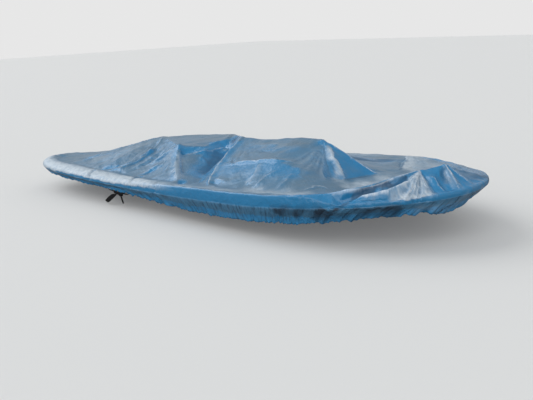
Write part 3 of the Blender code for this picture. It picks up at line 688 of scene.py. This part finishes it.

# %% [markdown]
# ## Painted sheen, bare places and painted shade
# The cloth's colour carries painted light and shade as well as its own blue. Along the aft roll, on the
# decks, on some facets and on the bow's fan, a pale painted sheen stands for the light that the coating
# mirrors. On steep faces the dust, and the grey sheen that it paints, are left off and the blue is deep. In
# hollows painted shade darkens it. Each place is a row of the table: how strong it is, whether it is on one
# side of the cover or on both, how far it reaches to the left and to the right of its path, in millimetres,
# how soft each of these two borders is, and the path itself on the flat cut. A soft border is ragged as well,
# and a place of painted sheen fades out at its two ends.

# %% Table of painted places
PLACES = {
    # name, amount, sides, left, right, soft left, soft right, places along it
    # painted sheen: a pale colour that stands for the light the coating mirrors
    "chalk": (
        ("aft roll", 1.05, 2, 72, 58, 1.0, 0.15, (-1535, 100), (-1535, -300), (-1500, -480), (-1380, -575),
         (-1200, -598), (-800, -598), (-300, -602), (140, -612)),
        ("side roll fore", 0.4, 2, 50, 24, 1.0, 0.4, (-250, -605), (400, -600), (660, -605)),
        ("fan foot", 1.0, 1, 50, 14, 1.0, 0.4, (1335, -400), (1370, -365), (1405, -325), (1450, -290),
         (1490, -200)),
        ("tip skirt", 0.16, 2, 50, 50, 0.8, 0.8, (1460, -400), (1565, -250), (1600, -150), (1625, 20)),
        ("aft slope", 0.2, 2, 170, 170, 1.0, 1.0, (-720, -100), (-900, -300), (-1100, -450)),
        ("corner column", 0.42, 1, 50, 14, 1.0, 0.6, (-330, -250), (-210, -365), (-90, -467), (0, -530)),
        ("fore triangle", 0.95, 1, 12, 40, 0.3, 1.0, (660, -15), (760, -66), (860, -125)),
        ("fore triangle low", 0.5, 1, 30, 60, 1.0, 1.0, (800, -110), (960, -190)),
        ("fore deck", 0.66, 1, 130, 120, 1.0, 1.0, (930, -300), (990, -140), (1060, 0), (1060, 140)),
        ("near deck", 0.62, 1, 80, 40, 1.0, 0.6, (500, -575), (750, -560), (930, -540), (1020, -460)),
        ("far deck", 0.8, 1, 150, 12, 1.0, 0.3, (760, 620), (900, 400), (990, 220)),
        ("far deck fore", 0.45, 1, 120, 120, 1.0, 1.0, (960, 470), (1100, 380), (1220, 240)),
        ("near streak", 0.3, 1, 40, 12, 1.0, 0.4, (460, -310), (490, -390), (530, -500)),
        ("top streak", 0.14, 1, 24, 24, 1.0, 1.0, (140, -75), (310, -80), (500, -110)),
        ("ridge flank", 0.25, 1, 6, 30, 0.5, 1.0, (0, -60), (93, -260), (210, -463)),
    ),
    # places where the dust, and the grey sheen that it paints, are left off
    "free_of_dust_and_sheen": (
        ("aft lip strip", 1.0, 1, 30, 34, 0.4, 0.4, (-350, -220), (-230, -125), (-205, 30), (-120, 65)),
        ("bridge blue", 1.0, 1, 40, 40, 0.5, 0.5, (-240, -30), (-200, 50), (-180, 130), (-120, 60)),
        ("valley", 1.0, 2, 110, 110, 0.6, 0.6, (-140, -80), (-100, -180), (-20, -320)),
        ("mid near face", 0.85, 2, 46, 110, 0.3, 0.9, (100, -330), (260, -365), (450, -345), (580, -330),
         (700, -340)),
        ("mid top", 0.5, 2, 60, 60, 0.8, 0.8, (120, -110), (300, -140), (520, -150)),
        ("mid ridge face", 0.8, 2, 60, 10, 0.9, 0.3, (20, -60), (100, -240), (220, -450)),
        ("bow folds", 1.0, 1, 70, 90, 0.3, 0.6, (1060, -550), (1200, -450), (1300, -330), (1340, -180)),
        ("bow face", 1.0, 1, 200, 200, 0.3, 0.3, (1360, -300), (1460, -120), (1490, 100)),
        ("bow tip", 0.9, 1, 100, 80, 0.4, 0.4, (1420, 20), (1490, 50), (1500, 180), (1420, 300)),
        ("bow rim", 1.0, 2, 60, 60, 0.5, 0.5, (900, -620), (1200, -500), (1420, -340), (1530, -130),
         (1550, 0)),
        ("fore facet", 0.9, 1, 40, 30, 0.3, 0.6, (670, 0), (800, 10), (910, 40)),
        ("far deck aft", 0.7, 1, 90, 90, 1.0, 1.0, (600, 280), (740, 280), (800, 440)),
        ("pocket", 0.9, 1, 24, 18, 0.6, 0.6, (-400, -240), (-430, -290), (-455, -360)),
        ("low pocket", 0.9, 1, 24, 18, 0.6, 0.6, (-340, -380), (-375, -430), (-410, -480)),
        ("column foot", 1.0, 1, 26, 26, 0.5, 0.5, (0, -490), (50, -540), (80, -570)),
        ("aft streak", 0.6, 2, 26, 14, 1.0, 0.5, (-800, -560), (-790, -500), (-720, -455), (-650, -420),
         (-635, -340)),
        ("far stern blue", 1.0, 1, 60, 60, 1.0, 1.0, (-950, -260), (-1060, -340), (-1170, -390)),
    ),
    # painted shade: a darker colour in hollows, in the bow's folds and on the bow's skirt
    "painted_shade": (
        ("valley floor", 0.8, 2, 80, 80, 0.7, 0.7, (-150, -90), (-100, -170), (-30, -280)),
        ("bow trough", 1.1, 1, 14, 20, 0.5, 0.8, (1080, -610), (1135, -565), (1155, -520), (1200, -450),
         (1285, -355), (1320, -240)),
        ("bow skirt", 0.74, 2, 60, 60, 0.8, 0.8, (850, -690), (970, -680), (1235, -566), (1420, -430)),
        ("bow skirt fold", 1.0, 2, 8, 16, 0.6, 0.9, (980, -665), (1130, -600), (1260, -530), (1380, -430)),
        ("tip hollow", 0.8, 1, 60, 40, 0.8, 0.8, (1440, 60), (1500, 100), (1500, 220)),
        ("bow dimple", 0.6, 1, 22, 22, 0.5, 0.5, (1400, -45), (1420, -80), (1445, -90)),
        ("far deck hollow", 0.75, 1, 70, 80, 0.6, 0.9, (580, 270), (700, 280), (760, 420)),
        ("far crease", 0.5, 1, 18, 6, 1.0, 0.5, (790, 560), (880, 410), (970, 240)),
    ),
}
print("painted places:", {kind: len(rows) for kind, rows in PLACES.items()})

# %% Ragged borders
RAGGED, PATCHY = 0.020, 0.16    # how far a soft border strays, and how uneven its place is
SHEEN_FADES = 0.20              # the share of a place of painted sheen over which it fades out at each end
STRAY_STRENGTHS = (1.0, 0.6, 0.4)
STRAYS = (      # a direction a row: how far its first wave bends, the bending wave, and the three waves
    (1.3, (0, 13), ((19, 31), (-37, 53), (97, 71))),
    (1.1, (17, 0), ((27, -15), (61, 29), (-101, 83))),
)
OTHER_SIDE = (1, -1, 1)


def uneven_shift(flat):
    """A slow, uneven shift of the places, from -2 to 2, so that no painted place has a ruled border."""
    x, y = flat[:, 0], flat[:, 1]
    shifts = []
    for bend, (bend_x, bend_y), waves in STRAYS:
        bends = (bend * np.sin(bend_x * x + bend_y * y), 0.0, 0.0)
        shifts.append(sum(strength * np.sin(a * x + b * y + bent)
                          for strength, (a, b), bent in zip(STRAY_STRENGTHS, waves, bends)))
    return np.column_stack([*shifts, 0.0 * x])


def painted(flat, kind):
    """The amount of one kind at each point. The softer a place is, the more ragged and patchy it is."""
    amount = np.zeros(len(flat))
    for _, strength, sides, left, right, soft_left, soft_right, *path in PLACES[kind]:
        for points in (flat, flat * OTHER_SIDE)[:sides]:
            shift = uneven_shift(points) * soft_left * soft_right
            offset, along = path_distance(points + RAGGED * shift, np.array(path) / MM)
            share = 1 - np.abs(offset) / np.where(offset > 0, left / MM, right / MM)
            place = smooth_step(share / np.where(offset > 0, soft_left, soft_right))
            ends = smooth_step(np.minimum(along, 1 - along) / SHEEN_FADES) if kind == "chalk" else 1.0
            amount = np.maximum(amount, strength * ends * (1.0 + PATCHY * shift[:, 0]) * place)
    return amount.clip(max=1.0)


print("borders stray by up to", round(RAGGED * sum(STRAY_STRENGTHS), 3), "m")

# %% [markdown]
# ## Painted highlights on crests and painted shade in hollows
# The crests that stand up most get a white painted highlight along their lines, and the line of a hollow gets
# painted shade. The pleats of the fans get painted sheen on their crests and painted shade at their bottoms.
# These follow the creases and the fans themselves, so they need no table of their own. Every kind ends as an
# attribute of the points, which the finish reads.

# %% Paint the places
HIGHLIGHT_REACH = 0.0045         # how far from a crest the painted highlight reaches
HOLLOW_REACH = 0.0070       # how far from the line of a hollow the painted shade reaches
HOLLOW_SHADE = 0.50          # and how dark that painted shade is
HOLLOW_NARROW = 4           # more makes the painted shade at the bottom of a pleat narrower
PLEAT_BASE = 0.68           # how much painted sheen the slope of a pleat has, against its crest


def along_creases(flat, strengths, reach):
    """How strongly the lines of the creases show, where each has its own strength."""
    amount = np.zeros(len(flat))
    for row, strength in zip(CREASES, strengths):
        if strength > 0:
            offset, _ = path_distance(flat, row.path)
            near = (1.0 - np.abs(offset) / reach).clip(min=0.0)
            share = (crease_height(flat, row) / row.height).clip(0, 1)
            amount = np.maximum(amount, strength * near * share)
    return amount


def along_fans(flat):
    """How much painted sheen the pleats have, most on their crests, and how much painted shade their bottoms
    have.
    """
    chalk, dark = np.zeros(len(flat)), np.zeros(len(flat))
    for fan in FANS:
        inside, crest = fan_share(flat, fan)
        chalk = np.maximum(chalk, fan.chalk * inside * (PLEAT_BASE + (1.0 - PLEAT_BASE) * crest))
        dark = np.maximum(dark, HOLLOW_SHADE * inside * (-crest).clip(min=0.0) ** HOLLOW_NARROW)
    return chalk.clip(max=1.0), dark


def paint_places(item):
    """Keeps the painted sheen, the bare places, the painted shade and the painted highlights as attributes.
    """
    flat = kept(item, "flat")
    above = 1.0 - smooth_step(kept(item, "edge") * 2.0)
    amounts = {kind: painted(flat, kind) for kind in PLACES}
    pleats_sheen, pleats_shade = along_fans(flat)
    hollows = along_creases(flat, [HOLLOW_SHADE * (row.height < 0) for row in CREASES], HOLLOW_REACH)
    # painted sheen on the pleats, painted shade in hollows and pleat bottoms, and white painted highlights
    # along the crests, kept as worn
    amounts["chalk"] = np.maximum(amounts["chalk"], pleats_sheen * above)
    amounts["painted_shade"] = np.maximum(amounts["painted_shade"], np.maximum(hollows, pleats_shade) * above)
    amounts["worn"] = along_creases(flat, [row.rubbed for row in CREASES], HIGHLIGHT_REACH) * above
    for kind, amount in amounts.items():
        keep(item, kind, amount)
        print(kind, "covers", round(100 * float((amount > 0.5).mean())), "% of the points")


paint_places(cloth)

# %% [markdown]
# ## Places round the edge
# The wrinkles of the gathered skirt run down from the edge, so they need a place that counts round the edge
# and down the skirt. It is kept as a point on a drum as wide as the edge is long, because a drum has no end
# where the pattern would break off. The leaning gathers turn the drum a little on the way down. One sewn
# seam runs down the skirt at the bow.

# %% Places round the edge
DRUM = 1.2                  # radius of the drum, the length of the edge over two pi
DRUM_DEPTH = 0.022          # height of the drum: low, so that wrinkles are drawn out down the skirt
DRUM_LEAN = 0.050           # how far the drum is turned at the hem, in metres round the edge
SEAM_REACH = 0.006
SKIRT_RUN = 0.1             # about the length of cloth down the skirt, in metres
# places along the seam from above, each with its share of the way down the skirt
SEAM = np.array(((1.538, -0.110, 0.02), (1.533, -0.126, 0.50), (1.505, -0.200, 1.00)))


def place_round_the_edge(item):
    """Keeps the place on the drum, and how near the seam is, as attributes."""
    points, down = points_of(item), kept(item, "skirt")
    turn = round_the_edge(points) + lean_of(points)[0] * down * DRUM_LEAN / DRUM
    keep(item, "drum", np.column_stack([DRUM * np.cos(turn), DRUM * np.sin(turn), down * DRUM_DEPTH]))
    unrolled = np.column_stack([DRUM * round_the_edge(points), SKIRT_RUN * down])
    path = np.column_stack([DRUM * round_the_edge(SEAM), SKIRT_RUN * SEAM[:, 2]])
    offset, _ = path_distance(unrolled, path)
    keep(item, "seam", (1.0 - np.abs(offset) / SEAM_REACH).clip(min=0.0) * (down > 0.0))


place_round_the_edge(cloth)
print("drum of", round(2 * math.pi * DRUM, 1), "m round the edge")

# %% [markdown]
# ## Effects that the finishes share
# Three effects are built once, as node groups with named inputs and outputs, and each finish places them
# with its own values. Wrinkles are a height: long soft ones and small sharp ones. The weave is a height too,
# of threads that cross. Dust is a mask: it lies where the cloth faces up, in uneven patches. Its grey is
# partly dust and partly a painted sheen for the light that the tops mirror. Node trees repeat the same few
# steps, so
# those come first: a node with its inputs, a sum, a noise, a mix of two colours, a group.

# %% Nodes and their inputs
def feed(tree, socket, value):
    """Sets an input to a value, or links it to another node's output."""
    if isinstance(value, bpy.types.NodeSocket):
        tree.links.new(value, socket)
    else:
        socket.default_value = value


def node(tree, kind, **inputs):
    """A shader node of this kind with its inputs fed."""
    made = tree.nodes.new("ShaderNode" + kind)
    for name, value in inputs.items():
        feed(tree, made.inputs[name.replace("_", " ")], value)
    return made


def maths(tree, operation, *values):
    """The result of a Math node."""
    made = node(tree, "Math")
    made.operation = operation
    for socket, value in zip(made.inputs, values):
        feed(tree, socket, value)
    return made.outputs[0]


def noise(tree, place, scale, detail=4.0):
    """A noise of this scale at the place."""
    return node(tree, "TexNoise", Vector=place, Scale=scale, Detail=detail, Roughness=0.6).outputs["Fac"]


def spread(tree, value, low, high, to_low=0.0, to_high=1.0):
    """The value mapped from one range to another."""
    made = node(tree, "MapRange", Value=value, From_Min=low, From_Max=high, To_Min=to_low, To_Max=to_high)
    return made.outputs[0]


def mix_colour(tree, mask, first, second):
    """A colour between two by a mask."""
    made = node(tree, "Mix")
    made.data_type = "RGBA"
    for socket, value in ((made.inputs["Factor"], mask), (made.inputs[6], first), (made.inputs[7], second)):
        feed(tree, socket, value)
    return made.outputs[2]


def bump(tree, height, distance, before=None):
    """The normal of a Bump node on this height, on top of another one."""
    over = {"Normal": before} if before else {}
    return node(tree, "Bump", Height=height, Distance=distance, **over).outputs[0]


def new_group(name, output, **inputs):
    """A group that reads a place and numbers and puts out one value: its tree, its inputs and its output."""
    tree = bpy.data.node_groups.new(name, "ShaderNodeTree")
    tree.interface.new_socket("Vector", in_out="INPUT", socket_type="NodeSocketVector")
    for label, value in inputs.items():
        label = label.replace("_", " ")
        socket = tree.interface.new_socket(label, in_out="INPUT", socket_type="NodeSocketFloat")
        socket.default_value = value
    tree.interface.new_socket(output, in_out="OUTPUT", socket_type="NodeSocketFloat")
    return tree, tree.nodes.new("NodeGroupInput").outputs, tree.nodes.new("NodeGroupOutput").inputs[0]


def new_material(name):
    """A new material, its tree and the inputs of its shader."""
    material = bpy.data.materials.new(name)
    material.use_nodes = True
    return material, material.node_tree, material.node_tree.nodes["Principled BSDF"].inputs


print("node groups before the shared effects:", len(bpy.data.node_groups))

# %% Shader groups
FACET_HEIGHT, LINE_HEIGHT, GRAIN_HEIGHT = 0.9, 2.4, 0.10        # shares of a wrinkle's height
FACETS_BEND = 0.12          # how far the facets are bent out of their straight borders


def wrinkle_group():
    """Height of small wrinkles: crumpled facets, long drawn lines and a fine grain."""
    tree, given, out = new_group("wrinkles", "Height", Facets=14.0, Lines=9.0, Grain=90.0)
    bend = node(tree, "TexNoise", Vector=given["Vector"], Scale=5.0, Detail=2.0)
    shifted = node(tree, "Mix")
    shifted.data_type = "VECTOR"
    for socket, value in ((shifted.inputs["Factor"], FACETS_BEND), (shifted.inputs[4], given["Vector"]),
                          (shifted.inputs[5], bend.outputs["Color"])):
        feed(tree, socket, value)
    facets = node(tree, "TexVoronoi", Vector=shifted.outputs[1], Scale=given["Facets"])
    facets.feature = "SMOOTH_F1"
    facets.inputs["Smoothness"].default_value = 0.25
    lines = node(tree, "TexNoise", Vector=given["Vector"], Scale=given["Lines"], Detail=4.0, Roughness=0.55,
                 Distortion=0.6)
    ridge = maths(tree, "ABSOLUTE", maths(tree, "SUBTRACT", lines.outputs["Fac"], 0.5))
    grain = noise(tree, given["Vector"], given["Grain"], detail=3.0)
    height = maths(tree, "SUBTRACT", maths(tree, "MULTIPLY", facets.outputs["Distance"], FACET_HEIGHT),
                   maths(tree, "MULTIPLY", ridge, LINE_HEIGHT))
    feed(tree, out, maths(tree, "ADD", height, maths(tree, "MULTIPLY", grain, GRAIN_HEIGHT)))
    return tree


def weave_group():
    """Height of threads that cross at right angles."""
    tree, given, out = new_group("weave", "Height", Threads=900.0)
    split = node(tree, "SeparateXYZ", Vector=given["Vector"])
    waves = [maths(tree, "SINE", maths(tree, "MULTIPLY", split.outputs[axis], given["Threads"]))
             for axis in ("X", "Y")]
    feed(tree, out, maths(tree, "MULTIPLY", *waves))
    return tree


def dust_and_sheen_group():
    """Where dust and the painted sheen of the tops lie: 1 on a dusty patch that faces up, 0 on a clean or
    upright one.
    """
    tree, given, out = new_group("dust_and_sheen", "Mask", Patches=3.0, Up_From=0.72, Up_To=0.99)
    faces = node(tree, "SeparateXYZ", Vector=node(tree, "NewGeometry").outputs["Normal"])
    up = node(tree, "MapRange", Value=faces.outputs["Z"], From_Min=given["Up From"], From_Max=given["Up To"])
    up.interpolation_type = "SMOOTHSTEP"
    uneven = spread(tree, noise(tree, given["Vector"], given["Patches"], 5.0), 0.30, 0.70, 0.55, 1.0)
    feed(tree, out, maths(tree, "MULTIPLY", up.outputs[0], uneven))
    return tree


SHARED = {"wrinkles": wrinkle_group(), "weave": weave_group(), "dust_and_sheen": dust_and_sheen_group()}


def shared(tree, name, place, **inputs):
    """One of the shared effects in a material, reading this place."""
    made = node(tree, "Group")
    made.node_tree = SHARED[name]
    for label, value in {"Vector": place, **inputs}.items():
        feed(tree, made.inputs[label], value)
    return made.outputs[0]


print("shared effects:", sorted(SHARED))

# %% [markdown]
# ## Coated cloth
# The cloth is woven polyester with a coating that shines softly. What makes it look real is the way its
# gloss changes: it is dull where dust and painted sheen lie, and small wrinkles break up the reflections. The
# weave itself is so fine that it only shows close up. The skirt is a greyer blue of painted shade under the
# edge, with painted shade between its gathers, and it is brighter again at the hem. All of it reads the flat
# place of the cloth and the painted places, and painted sheen, shade and highlights go into its colour.

# %% Blues of the cloth
CLEAN_BLUE = (0.014, 0.190, 0.410, 1.0)
FADED_BLUE = (0.028, 0.212, 0.425, 1.0)
# painted shade, for the hollows and the bow's folds
PAINTED_SHADE_BLUE = (0.008, 0.075, 0.165, 1.0)
# a greyer blue for dust, which also paints the grey sheen on the tops
DUST_AND_SHEEN_BLUE = (0.085, 0.165, 0.240, 1.0)
# a pale blue of painted sheen, for the light the coating mirrors
PAINTED_SHEEN_BLUE = (0.495, 0.580, 0.655, 1.0)
# white painted highlight along the crests
HIGHLIGHT_WHITE = (0.720, 0.780, 0.840, 1.0)
BROKEN_FROM, BROKEN_TO = 0.38, 0.62     # values of a noise at which a broken mask is weakest and strongest
BROKEN_MOST = 1.15                      # and its share of the mask there


def attribute(tree, name):
    """The output of the node that reads one of the cloth's attributes."""
    made = node(tree, "Attribute")
    made.attribute_name = name
    return made.outputs["Vector" if name in ("flat", "drum") else "Fac"]


def broken(tree, place, mask, scale, least):
    """A mask that is broken up by a noise, down to this share of itself."""
    share = spread(tree, noise(tree, place, scale), BROKEN_FROM, BROKEN_TO, least, BROKEN_MOST)
    return maths(tree, "MULTIPLY", mask, share)


def blues_of_the_cloth(tree, flat, drum):
    """The colour of the cloth, and how dull it is."""
    # Painted light goes into the colour here: painted sheen, painted shade, white painted highlights along
    # the crests (the worn attribute), and dust that also paints the sheen on the tops.
    chalk, free_of_dust_and_sheen, painted_shade, worn = (attribute(tree, name) for name in ("chalk", "free_of_dust_and_sheen", "painted_shade", "worn"))
    chalk = broken(tree, flat, chalk, scale=42.0, least=0.7)
    chalk = broken(tree, drum, chalk, scale=110.0, least=0.75)
    painted_shade = broken(tree, flat, painted_shade, scale=9.0, least=0.6)
    worn = broken(tree, flat, worn, scale=34.0, least=0.25)
    dust_and_sheen = maths(tree, "MULTIPLY", shared(tree, "dust_and_sheen", flat), maths(tree, "SUBTRACT", 1.0, free_of_dust_and_sheen))
    colour = mix_colour(tree, noise(tree, flat, scale=2.2, detail=3.0), CLEAN_BLUE, FADED_BLUE)
    for mask, over in ((dust_and_sheen, DUST_AND_SHEEN_BLUE), (painted_shade, PAINTED_SHADE_BLUE), (chalk, PAINTED_SHEEN_BLUE), (worn, HIGHLIGHT_WHITE)):
        colour = mix_colour(tree, mask, colour, over)
    return colour, maths(tree, "MAXIMUM", dust_and_sheen, chalk)


print("lightest to darkest blue:", PAINTED_SHEEN_BLUE[:3], PAINTED_SHADE_BLUE[:3])

# %% Material of the cover
# the skirt's greyer blue is painted shade under the edge; it gives way to the hem's blue
SKIRT_SHADE_GREY = (0.060, 0.215, 0.380, 1.0)
HEM_BLUE = (0.042, 0.275, 0.560, 1.0)
# a dark for the sewn seam, and for the painted shade between the gathers and in the skirt's hollows
SEAM_AND_SHADE_DARK = (0.008, 0.030, 0.060, 1.0)
ROUGHNESS = (0.20, 0.40)    # of bare cloth and of cloth with dust or painted sheen
PAINTED_SHADE_DULLS = 0.35           # how much rougher the cloth is in its hollows, where the painted shade lies
HEM_FROM = (0.51, 0.59)     # shares of the skirt over which it turns into the gathered hem
HEM_WAVERS = 0.35
TURN_SHARP = (0.02, 0.10)   # shares of the skirt over which the top's blue gives way
GATHER_SCALE, HATCH_SCALE = 62.0, 120.0     # of the noises that paint shade between the gathers and hatch the painted sheen of the roll
GATHER_SHADE = (0.50, 0.30, 0.0, 0.6)        # values of that noise from light to dark, and how dark the painted shade is at each
WRINKLE_HEIGHT, CRUMPLE_HEIGHT, HATCH_HEIGHT = 0.0045, 0.0014, 0.0040       # in metres, as are the next two
PLEAT_HEIGHT, WEAVE_HEIGHT = 0.0090, 0.00010


def skirt_colour(tree, drum, down):
    """The colour of the skirt, with painted shade under the edge and between its gathers, and the noise of
    its gathers.
    """
    waver = spread(tree, noise(tree, drum, scale=7.0), 0.0, 1.0, -HEM_WAVERS, HEM_WAVERS)
    hem = spread(tree, maths(tree, "ADD", down, waver), *HEM_FROM)
    gathered = noise(tree, drum, GATHER_SCALE, detail=3.0)
    painted_shade = broken(tree, drum, attribute(tree, "painted_shade"), scale=16.0, least=0.5)
    skirt = mix_colour(tree, hem, SKIRT_SHADE_GREY, HEM_BLUE)
    # painted shade between the gathers and in the hollows, painted sheen at the tip, and the sewn seam
    for mask, over in ((spread(tree, gathered, *GATHER_SHADE), SEAM_AND_SHADE_DARK), (painted_shade, SEAM_AND_SHADE_DARK),
                       (attribute(tree, "chalk"), PAINTED_SHEEN_BLUE), (attribute(tree, "seam"), SEAM_AND_SHADE_DARK)):
        skirt = mix_colour(tree, mask, skirt, over)
    return skirt, gathered


def coated_cloth():
    """Blue coated cloth: wrinkled, a little dusty and painted with sheen and shade above, gathered below the
    edge.
    """
    material, tree, shader = new_material("coated_cloth")
    flat, drum, down = (attribute(tree, name) for name in ("flat", "drum", "skirt"))
    colour, dull = blues_of_the_cloth(tree, flat, drum)
    skirt, gathered = skirt_colour(tree, drum, down)
    under = spread(tree, down, *TURN_SHARP)
    feed(tree, shader["Base Color"], mix_colour(tree, under, colour, skirt))
    feed(tree, shader["Roughness"], maths(tree, "ADD", spread(tree, dull, 0.0, 1.0, *ROUGHNESS),
                                          maths(tree, "MULTIPLY", attribute(tree, "painted_shade"), PAINTED_SHADE_DULLS)))
    hatch = maths(tree, "MULTIPLY", attribute(tree, "chalk"), noise(tree, drum, HATCH_SCALE, detail=3.0))
    normal = None
    for height, distance in ((shared(tree, "wrinkles", flat), WRINKLE_HEIGHT),
                             (shared(tree, "wrinkles", flat, Facets=36.0, Lines=24.0), CRUMPLE_HEIGHT),
                             (hatch, HATCH_HEIGHT), (maths(tree, "MULTIPLY", under, gathered), PLEAT_HEIGHT),
                             (shared(tree, "weave", flat), WEAVE_HEIGHT)):
        normal = bump(tree, height, distance, normal)
    feed(tree, shader["Normal"], normal)
    shader["IOR"].default_value = 1.55
    return material


cloth.data.materials.clear()
cloth.data.materials.append(coated_cloth())
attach(cloth, "root")
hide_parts("cover_sheet")
print("cover dressed in", cloth.data.materials[0].name)

# %% [markdown]
# ## The tie
# A flat black tape runs through the hem. It comes out aft on the near side, is tied in one flat knot and ends
# in two free tails. The solids already hang and bend as the tape does, so each piece starts as a copy of its
# solid. The copy's loose triangles are merged and paired up into four-sided faces, its long edges get a
# crease weight so that the tape stays thin and flat, and a Subdivision Surface bends it softly.

# %% Material of the tape
TAPE_BLACK = (0.004, 0.004, 0.005, 1)
TAPE_WORN = (0.010, 0.010, 0.011, 1)
TAPE_THREADS = 2400.0


def black_tape():
    """Black woven tape."""
    material, tree, shader = new_material("black_tape")
    place = node(tree, "TexCoord").outputs["Object"]
    worn = node(tree, "TexNoise", Vector=place, Scale=26.0, Detail=4.0)
    weave = shared(tree, "weave", place, Threads=TAPE_THREADS)
    feed(tree, shader["Base Color"], mix_colour(tree, worn.outputs["Fac"], TAPE_BLACK, TAPE_WORN))
    feed(tree, shader["Normal"], bump(tree, weave, distance=0.0004))
    shader["Roughness"].default_value = 0.85
    shader["Specular IOR Level"].default_value = 0.25
    return material


tape = black_tape()
print("finish of the tie:", tape.name)

# %% The tape pieces
TAPE_EDGE = math.radians(40)        # a bend sharper than this is an edge of the tape
TAPE_WEIGHT = 0.85
PAIR_ANGLE = math.radians(40)


def softened_copy(node_name, piece_name):
    """A finer, softly bent copy of a solid's tape, and its length and width when it is laid flat."""
    strip = merged_solid(node_name)
    weight = strip.edges.layers.float.new("crease_edge")
    for e in strip.edges:
        e[weight] = TAPE_WEIGHT if e.calc_face_angle(0.0) > TAPE_EDGE else 0.0
    bmesh.ops.join_triangles(strip, faces=strip.faces, angle_face_threshold=PAIR_ANGLE,
                             angle_shape_threshold=math.pi)
    piece = subdivide(as_object(strip, piece_name), SUBDIVISIONS)
    piece.data.materials.clear()
    piece.data.materials.append(tape)
    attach(piece, "root")
    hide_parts(node_name)
    area = sum(f.area for f in piece.data.polygons) / 2
    ends = [v.co for v in piece.data.vertices]
    length = max((a - ends[0]).length for a in ends)
    return piece, length, area / length


ties = {name: softened_copy("tie_" + name, "tape_" + name)
        for name in ("tail_long", "tail_short", "run_aft", "run_fore", "knot")}
for tail, with_names in (("tail_long", ("run_aft",)), ("tail_short", ("run_fore", "knot"))):
    piece, length, width = ties[tail]
for name, (piece, length, width) in ties.items():
    print(name, "length", round(length, 3), "width", round(width, 3))

# %% [markdown]
# ## Light, sky and floor
# Coated cloth shows its shape through what it mirrors, so the light matters as much as the material. The
# sky is brightest near the horizon, which the flat parts of the cloth mirror, and darker overhead. One wide
# lamp stands low behind the stern: it whitens every fold that leans that way. A second one in front keeps the
# near side from falling dark. The floor is pale. A pale floor would also light the skirt from below, and the
# skirt hangs in the shade, so the floor gives back less light than it shows.

# %% Light, sky and floor
FLOOR_BELOW = 0.012
FLOOR_WIDTH = 60.0
FLOOR_GLOW = 0.12           # so that the floor stays pale in the shade
PALE_FLOOR, DARK_BOUNCE = (0.62, 0.62, 0.61, 1), (0.30, 0.30, 0.30, 1)
PALE_BACKDROP = (0.80, 0.80, 0.80, 1)
SKY = (                 # height of the view from straight down, 0, to straight up, 1, and the colour there
    (0.000, (0.22, 0.22, 0.22, 1)),
    (0.490, (0.24, 0.24, 0.24, 1)),
    (0.515, (0.60, 0.60, 0.60, 1)),
    (0.620, (0.72, 0.72, 0.72, 1)),
    (0.780, (0.50, 0.52, 0.54, 1)),
    (1.000, (0.42, 0.45, 0.48, 1)),
)
LAMPS = (               # name, the way it comes from, its strength and its width in radians
    ("low lamp", Vector((-0.74, -0.20, 0.60)), 1.30, 0.90),
    ("front lamp", Vector((0.45, -0.80, 0.40)), 1.20, 1.2),
)


def show_and_throw(tree, seen, thrown, output):
    """The camera sees one shader, and all other light comes from the second."""
    path, mix = node(tree, "LightPath"), node(tree, "MixShader")
    for socket, value in zip(mix.inputs, (path.outputs["Is Camera Ray"], thrown.outputs[0], seen.outputs[0])):
        feed(tree, socket, value)
    feed(tree, tree.nodes[output].inputs["Surface"], mix.outputs[0])


def make_floor():
    """A wide pale floor just under the tie, which throws little light back."""
    bpy.ops.mesh.primitive_plane_add(size=FLOOR_WIDTH, location=(0, 0, cad_box[0].z - FLOOR_BELOW))
    floor = bpy.context.object
    floor.name = "floor"
    material, tree, shader = new_material("floor")
    for name, value in (("Base Color", PALE_FLOOR), ("Roughness", 0.9), ("Emission Color", (1, 1, 1, 1)),
                        ("Emission Strength", FLOOR_GLOW)):
        shader[name].default_value = value
    thrown = node(tree, "BsdfDiffuse", Color=DARK_BOUNCE)
    show_and_throw(tree, tree.nodes["Principled BSDF"], thrown, "Material Output")
    floor.data.materials.append(material)


def make_sky():
    """A soft sky for the light and the reflections, and a plain pale backdrop for the eye."""
    world = bpy.data.worlds.new("soft sky")
    bpy.context.scene.world = world
    world.use_nodes = True
    tree = world.node_tree
    way = node(tree, "SeparateXYZ", Vector=node(tree, "TexCoord").outputs["Generated"])
    ramp = node(tree, "ValToRGB", Fac=spread(tree, way.outputs["Z"], -1.0, 1.0))
    stops = ramp.color_ramp.elements
    for position, colour in SKY[1:-1]:
        stops.new(position)
    for stop, (position, colour) in zip(stops, SKY):
        stop.position, stop.color = position, colour
    sky = tree.nodes["Background"]
    feed(tree, sky.inputs["Color"], ramp.outputs[0])
    show_and_throw(tree, node(tree, "Background", Color=PALE_BACKDROP), sky, "World Output")


def make_lamp(name, way, strength, width):
    """A wide, soft lamp far away."""
    lamp = bpy.data.lights.new(name, "SUN")
    lamp.energy = strength
    lamp.angle = width
    item = bpy.data.objects.new(name, lamp)
    item.rotation_euler = way.to_track_quat("Z", "Y").to_euler()
    bpy.context.scene.collection.objects.link(item)


make_floor()
make_sky()
for row in LAMPS:
    make_lamp(*row)
bpy.context.scene.view_settings.view_transform = "Standard"
print("lamps:", [row[0] for row in LAMPS])
